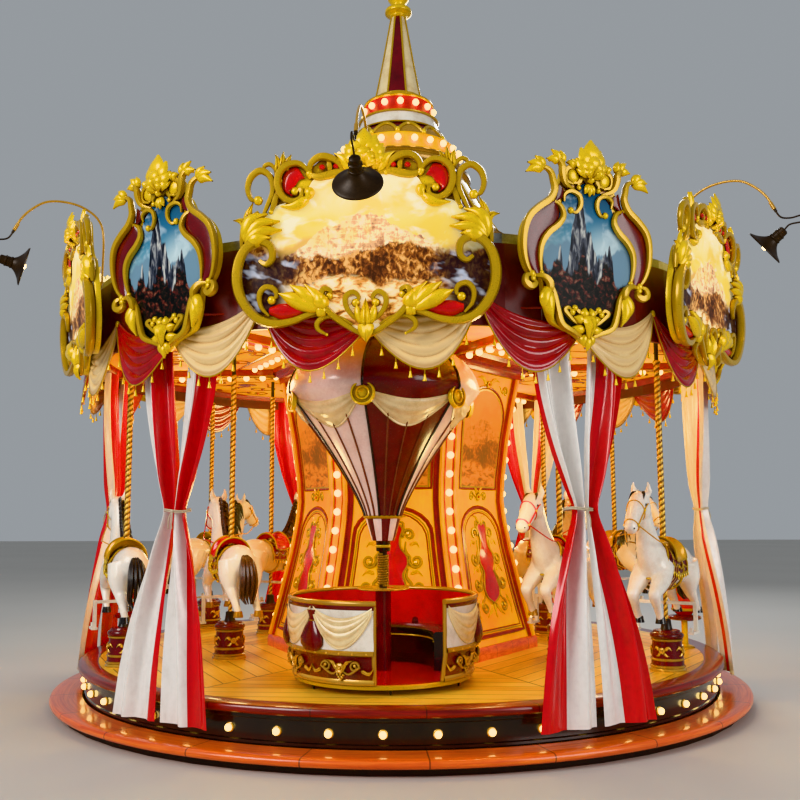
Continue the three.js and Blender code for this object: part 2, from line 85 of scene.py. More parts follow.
def smooth_line(points: Sequence[Point], steps: int = 6) -> list[Vector]:
    """A smooth curve through a few points.

    Args:
        points: the points that it passes through.
        steps: how many pieces each stretch is cut into.

    Returns:
        The points of the curve.
    """
    p = [Vector(q) for q in points]
    p = [p[0] * 2 - p[1], *p, p[-1] * 2 - p[-2]]
    spans = zip(p, p[1:], p[2:], p[3:])
    return [between(*four, k / steps) for four in spans for k in range(steps)] + [p[-2]]


def along(values: Sequence[float], t: float) -> float:
    """A value read off a list that is spread evenly from 0 to 1."""
    x = max(0.0, min(1.0, t)) * (len(values) - 1)
    i = min(int(x), len(values) - 2)
    return values[i] + (values[i + 1] - values[i]) * (x - i)


def spiral(centre: Point, start: float, turns: float, radii: tuple[float, float],
           steps: int = 18) -> list[Vector]:
    """A flat volute in the XZ plane.

    Args:
        centre: its middle.
        start: the angle in degrees where it begins.
        turns: how far it winds, positive anticlockwise seen from the front.
        radii: its first and last radius.
        steps: the number of pieces.

    Returns:
        The points from the outside in.
    """
    out = []
    for i in range(steps + 1):
        t = i / steps
        a = math.radians(start) + turns * TURN * t
        r = radii[0] + (radii[1] - radii[0]) * t
        out.append(Vector((centre[0] + r * math.cos(a), centre[1], centre[2] + r * math.sin(a))))
    return out


def _operator(operation: str, turned: bool = False) -> Callable[..., "Link"]:
    """A method of Link that adds one Math node.

    Args:
        operation: what the node does.
        turned: whether the value itself is the node's last input.

    Returns:
        The method.
    """
    def method(self: "Link", *others: "Link | float") -> "Link":
        """Adds the node on this value and others."""
        values = (*others, self) if turned else (self, *others)
        return self.graph.math(operation, *values)
    return method


class Link:
    """A value in a material's graph, with arithmetic."""

    __add__ = __radd__ = _operator("ADD")
    __sub__ = _operator("SUBTRACT")
    __rsub__ = _operator("SUBTRACT", turned=True)
    __mul__ = __rmul__ = _operator("MULTIPLY")
    __truediv__ = _operator("DIVIDE")
    __pow__ = _operator("POWER")
    sin, cos = _operator("SINE"), _operator("COSINE")
    abs, round = _operator("ABSOLUTE"), _operator("ROUND")
    floor, fract = _operator("FLOOR"), _operator("FRACT")
    most = _operator("MAXIMUM")

    def __init__(self, graph: "Graph", socket: bpy.types.NodeSocket) -> None:
        """Holds the graph and the socket that the value comes from."""
        self.graph = graph
        self.socket = socket

    def __neg__(self) -> "Link":
        """The value with its sign turned."""
        return self * -1.0

    def rise(self, low: float, high: float) -> "Link":
        """Smooth step from 0 at low to 1 at high."""
        node = self.graph.add("ShaderNodeMapRange", {"interpolation_type": "SMOOTHSTEP"},
                              {0: self, 1: low, 2: high})
        return Link(self.graph, node.outputs[0])

    def line(self, middle: float, half: float) -> "Link":
        """1 within half of middle, with soft edges."""
        return 1 - (self - middle).abs().rise(half * 0.7, half * 1.3)


class Graph:
    """One material's node graph."""

    def __init__(self, name: str) -> None:
        """Starts a material with a Principled shader and an output."""
        self.material = bpy.data.materials.new(name)
        self.material.use_nodes = True
        self.tree = self.material.node_tree
        self.tree.nodes.clear()
        self.shader = self.add("ShaderNodeBsdfPrincipled")
        self.output = self.add("ShaderNodeOutputMaterial")
        self.tree.links.new(self.shader.outputs[0], self.output.inputs[0])

    def add(self, kind: str, settings: dict | None = None, inputs: dict | None = None) -> bpy.types.Node:
        """Adds a node.

        Args:
            kind: the node's type.
            settings: its own properties, or ramp stops under "stops".
            inputs: values or links for its sockets, by name or number.

        Returns:
            The node.
        """
        node = self.tree.nodes.new(kind)
        for key, value in (settings or {}).items():
            if key == "stops":
                self._stops(node.color_ramp, value)
            else:
                setattr(node, key, value)
        for key, value in (inputs or {}).items():
            if isinstance(value, Link):
                self.tree.links.new(value.socket, node.inputs[key])
            else:
                node.inputs[key].default_value = value
        return node

    @staticmethod
    def _stops(ramp: bpy.types.ColorRamp, stops: Sequence[tuple[float, Colour]]) -> None:
        """Sets a ramp's stops."""
        while len(ramp.elements) < len(stops):
            ramp.elements.new(0.5)
        for element, (place, colour) in zip(ramp.elements, stops):
            element.position = place
            element.color = colour

    def math(self, operation: str, *values: Link | float) -> Link:
        """A Math node on one to three values."""
        node = self.add("ShaderNodeMath", {"operation": operation}, dict(enumerate(values)))
        return Link(self, node.outputs[0])

    def place(self) -> tuple[Link, Link, Link]:
        """The piece's own x, y and z, in metres."""
        where = self.add("ShaderNodeTexCoord")
        split = self.add("ShaderNodeSeparateXYZ", None, {0: Link(self, where.outputs["Object"])})
        return tuple(Link(self, s) for s in split.outputs)

    def round_axis(self, x: Link, y: Link) -> tuple[Link, Link]:
        """The distance from the axis, and the angle from the front, positive to the right."""
        return (x * x + y * y) ** 0.5, self.math("ARCTAN2", x, -y)

    def vector(self, x: Link | float, y: Link | float, z: Link | float = 0.0) -> Link:
        """A vector from three numbers."""
        node = self.add("ShaderNodeCombineXYZ", None, {0: x, 1: y, 2: z})
        return Link(self, node.outputs[0])

    def noise(self, scale: float, detail: float = 3.0, rough: float = 0.5, at: Link | None = None,
              warp: float = 0.0) -> Link:
        """Smooth noise from 0 to 1.

        Args:
            scale: blotches for each metre.
            detail: layers of finer noise.
            rough: how strong the finer layers are.
            at: where to read it, or the piece's own place.
            warp: how much it is bent.

        Returns:
            The noise value.
        """
        at = at or Link(self, self.add("ShaderNodeTexCoord").outputs["Object"])
        node = self.add("ShaderNodeTexNoise", {"noise_dimensions": "3D"}, {
            "Vector": at, "Scale": scale, "Detail": detail, "Roughness": rough, "Distortion": warp})
        return Link(self, node.outputs[0])

    def speck(self, at: Link) -> Link:
        """A random number for each whole-numbered place."""
        node = self.add("ShaderNodeTexWhiteNoise", {"noise_dimensions": "3D"}, {"Vector": at})
        return Link(self, node.outputs["Value"])

    def mix(self, share: Link | float, first: Link | Colour, second: Link | Colour,
            blend: str = "MIX") -> Link:
        """A colour between two, by share."""
        node = self.add("ShaderNodeMix", {"data_type": "RGBA", "blend_type": blend, "clamp_factor": True},
                        {0: share, 6: first, 7: second})
        return Link(self, node.outputs[2])

    def ramp(self, share: Link, stops: Sequence[tuple[float, Colour]]) -> Link:
        """A colour read from stops."""
        node = self.add("ShaderNodeValToRGB", {"stops": stops}, {0: share})
        return Link(self, node.outputs[0])

    def bump(self, height: Link, strength: float = 0.3, distance: float = 0.002) -> Link:
        """A normal that shows a height."""
        node = self.add("ShaderNodeBump", None, {"Strength": strength, "Distance": distance,
                                                 "Height": height})
        return Link(self, node.outputs[0])

    def finish(self, **sockets: Link | float | Colour) -> bpy.types.Material:
        """Sets the shader's sockets by name, with underscores for spaces, and returns the material."""
        for key, value in sockets.items():
            name = key.replace("_", " ")
            if isinstance(value, Link):
                self.tree.links.new(value.socket, self.shader.inputs[name])
            else:
                self.shader.inputs[name].default_value = value
        return self.material


@dataclass(frozen=True)
class Lacquer:
    """Gloss paint on a moulding, with a faint ripple and a little grime.

    Attributes:
        name: the material's name.
        colour: the paint's colour.
        shade: the colour of its thin and dirty places.
        metal: 1 for gold or brass paint.
        rough: how dull it is.
        ripple: the height of its ripple in metres.
        coat: how strong its clear coat is.
        scale: how fine its clouds are.
    """

    name: str
    colour: Colour
    shade: Colour
    metal: float = 0.0
    rough: float = 0.22
    ripple: float = 0.0006
    coat: float = 0.5
    scale: float = 9.0

    def make(self) -> bpy.types.Material:
        """Builds the material."""
        g = Graph(self.name)
        cloud = g.noise(self.scale, 4, 0.6)
        fine = g.noise(self.scale * 14, 2, 0.5)
        wear = (cloud * 0.8 + fine * 0.3).rise(0.42, 0.78)
        colour = g.mix(wear * 0.65, self.colour, self.shade)
        return g.finish(
            Base_Color=colour, Metallic=self.metal, Roughness=fine * 0.16 + (self.rough - 0.05),
            Coat_Weight=self.coat, Coat_Roughness=0.12,
            Normal=g.bump(cloud + fine * 0.25, 0.35, self.ripple))


@dataclass(frozen=True)
class Gilding:
    """Gold paint over carving: bright on the swells, with painted shade in brown in its creases and hollows,
    and worn brown patches.

    Attributes:
        name: the material's name.
        bright: the gold.
        dull: the brown of the painted shade in the creases and hollows, and of the worn patches.
        rough: how dull it is.
        metal: how much it mirrors.
    """

    name: str
    bright: Colour = tone(255, 214, 44)
    dull: Colour = tone(112, 50, 4)
    rough: float = 0.27
    metal: float = 0.35

    def make(self) -> bpy.types.Material:
        """Builds the material."""
        g = Graph(self.name)
        cloud = g.noise(14, 4, 0.62)
        fine = g.noise(120, 3, 0.6)
        geometry = g.add("ShaderNodeNewGeometry")
        edge = Link(g, geometry.outputs["Pointiness"])
        # Painted shade: occlusion and pointiness turn the gold brown in its creases and hollows; the noise
        # patches are wear.
        crease_occlusion = g.add("ShaderNodeAmbientOcclusion", {"samples": 6, "only_local": True},
                        {"Distance": 0.035})
        crease = 1 - Link(g, crease_occlusion.outputs["AO"]).rise(0.34, 0.94)
        painted_hollow_shade = (1 - edge.rise(0.44, 0.5)) * 0.5
        worn = (cloud * 0.9 + fine * 0.25).rise(0.55, 0.86)
        colour = g.mix(crease.most(painted_hollow_shade).most(worn * 0.3), self.bright, self.dull)
        return g.finish(
            Base_Color=colour, Metallic=self.metal, Roughness=fine * 0.2 + cloud * 0.1 + (self.rough - 0.12),
            Coat_Weight=0.4, Coat_Roughness=0.16, Normal=g.bump(cloud * 0.7 + fine * 0.3, 0.4, 0.0012))


@dataclass(frozen=True)
class PolishedWood:
    """Red-brown boards under thick varnish.

    Attributes:
        name: the material's name.
        light: the pale streaks.
        dark: the dark streaks.
        pieces: how many boards make a full ring.
    """

    name: str
    light: Colour = tone(255, 126, 46)
    dark: Colour = tone(214, 74, 24)
    pieces: int = 24

    def make(self) -> bpy.types.Material:
        """Builds the material, with its grain round the axis."""
        g = Graph(self.name)
        x, y, z = g.place()
        radius, angle = g.round_axis(x, y)
        grain = g.noise(1.0, 5, 0.62, g.vector(angle * 5.0, radius * 46, z * 30), 0.6)
        streak = g.noise(1.0, 3, 0.5, g.vector(angle * 22, radius * 260, z * 160))
        joint = (angle * (self.pieces / TURN)).fract().line(0.5, 0.006)
        colour = g.mix((grain * 0.75 + streak * 0.3).rise(0.32, 0.72), self.dark, self.light)
        colour = g.mix(joint * 0.7, colour, tone(30, 6, 4))
        return g.finish(
            Base_Color=colour, Roughness=streak * 0.12 + 0.24, Coat_Weight=0.55, Coat_Roughness=0.08,
            Normal=g.bump(grain + streak * 0.4 - joint, 0.25, 0.0008))


@dataclass(frozen=True)
class DeckBoards:
    """Tan boards laid in six mitred fields round the tower.

    Attributes:
        width: one board's width in metres.
    """

    width: float = 0.142

    def make(self) -> bpy.types.Material:
        """Builds the material."""
        g = Graph("deck_boards")
        x, y, z = g.place()
        angle = g.math("ARCTAN2", x, -y)
        radius = (x * x + y * y) ** 0.5
        field_angle = (angle * (SECTORS / TURN)).round() * (TURN / SECTORS)
        turn = angle - field_angle
        out, side = radius * turn.cos(), radius * turn.sin()
        board = out / self.width
        number = board.floor()
        gap = board.fract().line(0.0, 0.028).most(board.fract().line(1.0, 0.028))
        mitre = ((angle * (SECTORS / TURN) + 0.5).fract() * radius).line(0.0, 0.012)
        random_board = g.speck(g.vector(number, field_angle.round(), 3))
        grain = g.noise(1.0, 5, 0.6, g.vector(side * 3 + random_board * 40, out * 60, random_board * 9), 1.2)
        fleck = g.noise(1.0, 2, 0.5, g.vector(side * 16, out * 320, 0.0))
        tint = grain * 0.6 + fleck * 0.25 + random_board * 0.3
        colour = g.ramp(tint.rise(0.25, 0.85), [
            (0.0, tone(196, 140, 44)), (0.5, tone(244, 188, 66)), (1.0, tone(255, 216, 104))])
        dirt = g.noise(2.2, 4, 0.7).rise(0.5, 0.8)
        colour = g.mix(dirt * 0.3, colour, tone(150, 104, 44))
        seam = gap.most(mitre)
        colour = g.mix(seam * 0.85, colour, tone(62, 36, 14))
        return g.finish(
            Base_Color=colour, Roughness=fleck * 0.2 + 0.32, Coat_Weight=0.3, Coat_Roughness=0.25,
            Normal=g.bump(grain * 0.3 + fleck * 0.15 - seam, 0.4, 0.0015))


@dataclass(frozen=True)
class PaintedBoard:
    """Orange panel paint in cloudy patches of two tones, with fine brush marks and a faint glow of its own
    that is painted light from the bulbs.
    """

    name: str
    middle: Colour = tone(255, 200, 0)
    edge: Colour = tone(250, 162, 0)
    light: float = 0.15

    def make(self) -> bpy.types.Material:
        """Builds the material."""
        g = Graph(self.name)
        x, y, z = g.place()
        cloud = g.noise(2.4, 4, 0.6)
        brush = g.noise(1.0, 3, 0.5, g.vector(x * 40, y * 40, z * 6))
        colour = g.mix((cloud * 0.9 + brush * 0.25).rise(0.35, 0.8), self.middle, self.edge)
        # The emission is painted light: the panel glows faintly in its own colour, for the bulbs' light on it.
        return g.finish(
            Base_Color=colour, Roughness=brush * 0.15 + 0.4, Specular_IOR_Level=0.2,
            Emission_Color=colour, Emission_Strength=self.light, Normal=g.bump(brush, 0.2, 0.0006))


@dataclass(frozen=True)
class Coated:
    """Glossy coated cloth with soft creases down its length."""

    name: str
    colour: Colour
    shade: Colour

    def make(self) -> bpy.types.Material:
        """Builds the material."""
        g = Graph(self.name)
        x, y, z = g.place()
        crease = g.noise(1.0, 4, 0.6, g.vector(x * 16, y * 16, z * 3.2), 0.5)
        crumple = g.noise(26, 3, 0.55)
        weave = g.noise(420, 1, 0.5)
        colour = g.mix((crease * 0.7 + crumple * 0.35).rise(0.4, 0.85) * 0.55, self.colour, self.shade)
        return g.finish(
            Base_Color=colour, Roughness=crumple * 0.16 + 0.14, Coat_Weight=0.45, Coat_Roughness=0.1,
            Normal=g.bump(crease + crumple * 0.3 + weave * 0.03, 0.5, 0.004))


@dataclass(frozen=True)
class Hair:
    """Painted moulded hair, in strands along the lock."""

    name: str
    dark: Colour = tone(22, 14, 12)
    light: Colour = tone(70, 46, 34)

    def make(self) -> bpy.types.Material:
        """Builds the material."""
        g = Graph(self.name)
        x, y, z = g.place()
        strand = g.noise(1.0, 4, 0.65, g.vector(x * 90 + z * 60, y * 120, z * 14), 0.8)
        colour = g.mix(strand.rise(0.45, 0.75), self.dark, self.light)
        return g.finish(
            Base_Color=colour, Roughness=strand * 0.2 + 0.3, Coat_Weight=0.3, Coat_Roughness=0.2,
            Normal=g.bump(strand, 0.8, 0.004))


@dataclass(frozen=True)
class Bulb:
    """A warm lit lamp glass, brighter at its middle."""

    name: str = "bulb_glass"
    colour: Colour = tone(255, 222, 136)
    power: float = 4.0

    def make(self) -> bpy.types.Material:
        """Builds the material."""
        g = Graph(self.name)
        speck = g.noise(60, 2)
        glow = g.mix(speck, self.colour, tone(255, 226, 150))
        return g.finish(Base_Color=glow, Roughness=0.1, Emission_Color=glow, Emission_Strength=self.power)


@dataclass(frozen=True)
class Twisted:
    """Brass with two strands wound round the pole, with painted shade: bright on the strands and dull brown
    between them.
    """

    bright: Colour = tone(250, 206, 96)
    dull: Colour = tone(128, 82, 18)

    def make(self) -> bpy.types.Material:
        """Builds the material, for a pole that stands on the piece's own axis."""
        g = Graph("twisted_brass")
        x, y, z = g.place()
        strand = ((g.math("ARCTAN2", y, x) * 2 - z * 150).sin() + 1) * 0.5
        smear = g.noise(30, 3, 0.6)
        # Painted shade between the strands and bright brass on them; the noise smears are tarnish.
        colour = g.mix(strand.rise(0.1, 0.7), self.dull, self.bright)
        colour = g.mix(smear.rise(0.5, 0.8) * 0.5, colour, self.dull)
        return g.finish(
            Base_Color=colour, Metallic=0.45, Roughness=smear * 0.2 + 0.18, Coat_Weight=0.3,
            Normal=g.bump(strand, 0.9, 0.005))


@dataclass(frozen=True)
class Canvas:
    """A picture's graph with the places across and up it.

    Attributes:
        g: the material's graph.
        x: the place across, from the picture's middle.
        z: the place up, from the picture's middle.
    """

    g: Graph
    x: Link
    z: Link

    def dabs(self, fine: float, seed: float, stretch: float = 1.0) -> Link:
        """Brush dabs, stretched upward where stretch is under 1."""
        at = self.g.vector(self.x * fine + seed, self.z * (fine * stretch), seed)
        return self.g.noise(1.0, 3, 0.58, at, 0.5)

    def ridge(self, seed: float, scale: float, low: float, high: float) -> Link:
        """The height of an uneven skyline across the picture."""
        line = self.g.noise(scale, 4, 0.5, self.g.vector(self.x + seed, seed * 3.7, 0.0))
        return line.rise(0.3, 0.7) * (high - low) + low


class Mood(Enum):
    """The two colourings of the landscape pictures."""

    WARM = "warm"
    BLUE = "blue"


@dataclass(frozen=True)
class Landscape:
    """A made-up painted view of crags over woods and water.

    Attributes:
        mood: its colouring.
        size: how large it is painted, where 1 spans 1.5 m.
        light: how strongly it glows by itself, a painted light for the lamps' light on the picture.
        veil: a glaze over the whole picture.
        fade: how far the picture is worn down to its glaze.
    """

    mood: Mood
    size: float = 1.0
    light: float = 0.2
    veil: Colour = (1.0, 1.0, 1.0, 1.0)
    fade: float = 0.0

    @staticmethod
    def _warm(c: Canvas) -> Link:
        """A sunlit valley in yellow, cream and rust."""
        g, x, z = c.g, c.x, c.z
        edge = x.abs()
        colour = g.ramp(z.rise(-0.16, 0.4), [
            (0.0, tone(255, 206, 96)), (0.4, tone(255, 232, 120)), (1.0, tone(252, 242, 200))])
        haze = c.dabs(3.4, 2.0, 1.3).rise(0.42, 0.6)
        colour = g.mix(haze * 0.75, colour, tone(255, 218, 76))
        cloud = c.dabs(5.2, 13.0, 1.5).rise(0.5, 0.66)
        colour = g.mix(cloud * 0.8, colour, tone(255, 250, 228))
        side = (edge + c.dabs(5.0, 6.0) * 0.3).rise(0.56, 0.86)
        colour = g.mix(side * 0.7, colour, tone(190, 194, 168))
        far = c.ridge(1.3, 2.4, -0.12, 0.03)
        colour = g.mix((far - z).rise(-0.02, 0.02), colour, tone(214, 172, 92))
        crag = c.ridge(8.2, 3.0, 0.02, 0.13) - (edge * edge) * 0.9 + c.dabs(22, 31.0, 0.2) * 0.06
        stroke = c.dabs(34, 4.0, 0.45)
        ledge = c.dabs(12, 40.0, 3.2)
        patch = c.dabs(5.0, 21.0, 0.7)
        rock = g.ramp((stroke * 0.45 + ledge * 0.35 + patch * 0.3).rise(0.42, 0.68), [
            (0.0, tone(150, 104, 84)), (0.3, tone(222, 178, 132)), (0.6, tone(250, 226, 176)),
            (1.0, tone(255, 240, 206))])
        rock = g.mix(patch.rise(0.5, 0.6) * 0.5, rock, tone(246, 206, 90))
        colour = g.mix((crag - z).rise(-0.006, 0.006), colour, rock)
        wood = c.ridge(17.9, 6.0, -0.15, -0.05)
        leaf = c.dabs(38, 9.0, 0.7)
        mass = c.dabs(6.0, 12.0)
        trees = g.ramp((leaf * 0.65 + mass * 0.45).rise(0.42, 0.7), [
            (0.0, tone(58, 34, 26)), (0.35, tone(116, 66, 38)), (0.65, tone(172, 112, 58)),
            (1.0, tone(226, 178, 110))])
        colour = g.mix((wood - z + leaf * 0.06).rise(0.01, 0.03), colour, trees)
        deep = (edge + c.dabs(6.0, 3.0) * 0.3).rise(0.5, 0.66) * (1 - z.rise(-0.16, -0.04))
        gleam = g.noise(1.0, 2, 0.5, g.vector(x * 5 - z * 6, z * 11 + x * 6, 2.0)).rise(0.52, 0.66)
        water = g.mix(gleam * 0.85, tone(46, 36, 40), tone(184, 194, 214))
        colour = g.mix(deep * 0.92, colour, water)
        field_top = c.ridge(23.1, 3.0, -0.34, -0.24)
        grass = g.ramp((c.dabs(11, 14.0, 2.0) * 0.8 + mass * 0.3).rise(0.4, 0.7), [
            (0.0, tone(110, 54, 28)), (0.3, tone(216, 150, 76)), (0.6, tone(252, 222, 156)),
            (1.0, tone(255, 240, 206))])
        return g.mix((field_top - z).rise(-0.02, 0.03) * (1 - edge.rise(0.4, 0.56)), colour, grass)

    @staticmethod
    def _blue(c: Canvas) -> Link:
        """Dark crags and woods under a blue sky with a pale gleam."""
        g, x, z = c.g, c.x, c.z
        colour = g.ramp(z.rise(-0.2, 0.42), [
            (0.0, tone(150, 180, 190)), (0.4, tone(78, 142, 170)), (0.75, tone(34, 104, 142)),
            (1.0, tone(16, 72, 108))])
        cloud = c.dabs(5.0, 1.0, 1.4).rise(0.46, 0.66)
        colour = g.mix(cloud * 0.65, colour, tone(190, 212, 224))
        gleam = 1 - (((x - 0.14) * (x - 0.14) + (z + 0.04) * (z + 0.04)) ** 0.5).rise(0.03, 0.24)
        colour = g.mix(gleam * 0.6, colour, tone(214, 230, 232))
        far = c.ridge(3.3, 4.0, -0.14, 0.04)
        colour = g.mix((far - z).rise(-0.012, 0.012), colour, tone(112, 146, 168))
        crag = c.ridge(12.7, 7.0, -0.1, 0.3) - (x * x) * 6.0 + c.dabs(30, 41.0, 0.15) * 0.05
        stroke = c.dabs(34, 5.0, 0.2)
        rock = g.ramp(stroke.rise(0.36, 0.68), [
            (0.0, tone(20, 24, 34)), (0.45, tone(66, 72, 86)), (0.75, tone(128, 132, 138)),
            (1.0, tone(200, 202, 196))])
        colour = g.mix((crag - z).rise(-0.008, 0.008), colour, rock)
        wood = c.ridge(31.9, 6.0, -0.26, -0.04)
        leaf = c.dabs(24, 9.0)
        trees = g.ramp(leaf.rise(0.36, 0.72), [
            (0.0, tone(10, 12, 14)), (0.45, tone(36, 34, 32)), (0.75, tone(98, 38, 36)),
            (1.0, tone(140, 104, 84))])
        colour = g.mix((wood - z + leaf * 0.06).rise(0.01, 0.04), colour, trees)
        return g.mix(1 - z.rise(-0.5, -0.24), colour, tone(16, 18, 18))

    def make(self) -> bpy.types.Material:
        """Builds the material; x and z of the piece are read across the picture."""
        g = Graph(f"picture_{self.mood.value}_{self.size:.1f}".replace(".", "_"))
        x, y, z = g.place()
        canvas = Canvas(g, x / self.size, z / self.size)
        colour = self._warm(canvas) if self.mood is Mood.WARM else self._blue(canvas)
        colour = g.mix(self.fade, g.mix(1.0, colour, self.veil, "MULTIPLY"), self.veil)
        weave = g.noise(300, 2, 0.5)
        # The emission is painted light: the picture glows faintly in its own colours.
        return g.finish(
            Base_Color=colour, Roughness=weave * 0.1 + 0.4, Specular_IOR_Level=0.3,
            Emission_Color=colour, Emission_Strength=self.light, Normal=g.bump(weave, 0.1, 0.0006))


class Paints:
    """Every finish of the carousel, each made once."""

    def __init__(self) -> None:
        """Makes the materials."""
        # The gilt, brass and antique gold finishes paint brown shade into their creases and hollows.
        self.gold = Gilding("gilding").make()
        self.brass = Gilding("brass", tone(240, 190, 84), tone(112, 70, 20), 0.2).make()
        self.bronze = Gilding("antique_gold", tone(196, 150, 58), tone(70, 42, 12), 0.24).make()
        self.maroon = Lacquer("maroon_lacquer", tone(112, 12, 18), tone(58, 4, 8)).make()
        self.fascia = Lacquer("fascia_paint", tone(104, 16, 14), tone(56, 6, 8), rough=0.4, coat=0.05).make()
        self.crimson = Lacquer("crimson_lacquer", tone(222, 16, 14), tone(160, 8, 8), coat=0.7).make()
        self.cream = Lacquer("cream_moulding", tone(246, 226, 176), tone(206, 168, 104)).make()
        self.white = Lacquer("white_lacquer", tone(244, 238, 226), tone(206, 190, 164)).make()
        self.horse = Lacquer("horse_white", tone(248, 242, 232), tone(214, 196, 172), coat=0.7,
                             scale=5).make()
        self.black = Lacquer("black_gloss", tone(20, 16, 16), tone(44, 34, 30), rough=0.2, coat=0.7).make()
        self.dark = Lacquer("dark_paint", tone(34, 22, 18), tone(16, 10, 8), rough=0.4, coat=0.2).make()
        self.iron = Lacquer("struts_paint", tone(150, 156, 160), tone(84, 80, 76), metal=0.7,
                            rough=0.35).make()
        self.beam = Lacquer("red_beam", tone(164, 32, 10), tone(106, 14, 6), coat=0.2).make()
        self.strip = Lacquer("orange_red", tone(206, 34, 0), tone(160, 18, 0), rough=0.5, coat=0.0).make()
        # The orange panels, the golden band and the ceiling glow faintly by themselves: painted light.
        self.orange = PaintedBoard("orange_panel").make()
        self.glow = PaintedBoard("golden_band", tone(255, 200, 0), tone(246, 156, 0), 0.1).make()
        self.ceiling = PaintedBoard("ceiling_panel", tone(255, 200, 0), tone(250, 160, 0), 0.15).make()
        self.swag_red = Lacquer("swag_crimson", tone(178, 12, 26), tone(112, 4, 12), coat=0.8,
                                rough=0.18).make()
        # The cream swags take the gilding's graph, so their folds get painted shade in brown.
        self.swag_cream = Gilding("swag_cream", tone(246, 216, 158), tone(186, 128, 70), 0.42, 0.0).make()
        self.twisted = Twisted().make()
        self.wood = PolishedWood("polished_wood").make()
        self.wood_dark = PolishedWood("mahogany_border", tone(158, 30, 14), tone(92, 12, 8)).make()
        self.shade = Lacquer("lamp_bronze", tone(58, 44, 32), tone(30, 22, 16), metal=0.3, rough=0.42,
                             coat=0.0).make()
        self.boards = DeckBoards().make()
        self.bulb = Bulb().make()
        self.red_cloth = Coated("red_vinyl", tone(218, 12, 20), tone(140, 4, 10)).make()
        self.white_cloth = Coated("white_vinyl", tone(242, 238, 234), tone(206, 196, 190)).make()
        self.mane = Hair("mane_dark").make()
        self.mane_brown = Hair("mane_brown", tone(60, 32, 16), tone(128, 76, 40)).make()
        self.saddle = Lacquer("saddle_red", tone(168, 22, 16), tone(92, 8, 8), coat=0.6).make()
        self.saddle_gold = Lacquer("saddle_yellow", tone(240, 180, 44), tone(180, 110, 18), metal=0.3).make()
        self.tower_picture = Landscape(Mood.WARM, 0.9, 0.08, tone(228, 162, 90), 0.3).make()
        self.picture_warm = Landscape(Mood.WARM, 1.0, 0.4).make()
        self.picture_blue = Landscape(Mood.BLUE, 1.0, 0.06).make()
        self.ceiling_scroll = Lacquer("ceiling_scroll", tone(186, 70, 16), tone(130, 40, 8)).make()
        self.shade_inside = Lacquer("shade_inside", tone(226, 220, 206), tone(180, 170, 150)).make()
        self.lamp_glass = Bulb("lamp_glass", power=40.0).make()
        self.tie = Lacquer("tie_cord", tone(210, 196, 170), tone(150, 130, 100), rough=0.6, coat=0.0).make()
        self.pearl = Lacquer("pearl_white", tone(255, 230, 220), tone(226, 184, 170), coat=0.8,
                             scale=4).make()
        self.rib = Lacquer("brown_rib", tone(132, 66, 44), tone(84, 36, 24)).make()
        self.hoof = Lacquer("hoof_gold", tone(196, 140, 40), tone(120, 80, 20), metal=0.5).make()
        self.eye = Lacquer("eye_black", tone(10, 8, 8), tone(30, 20, 16), rough=0.1, coat=1.0).make()


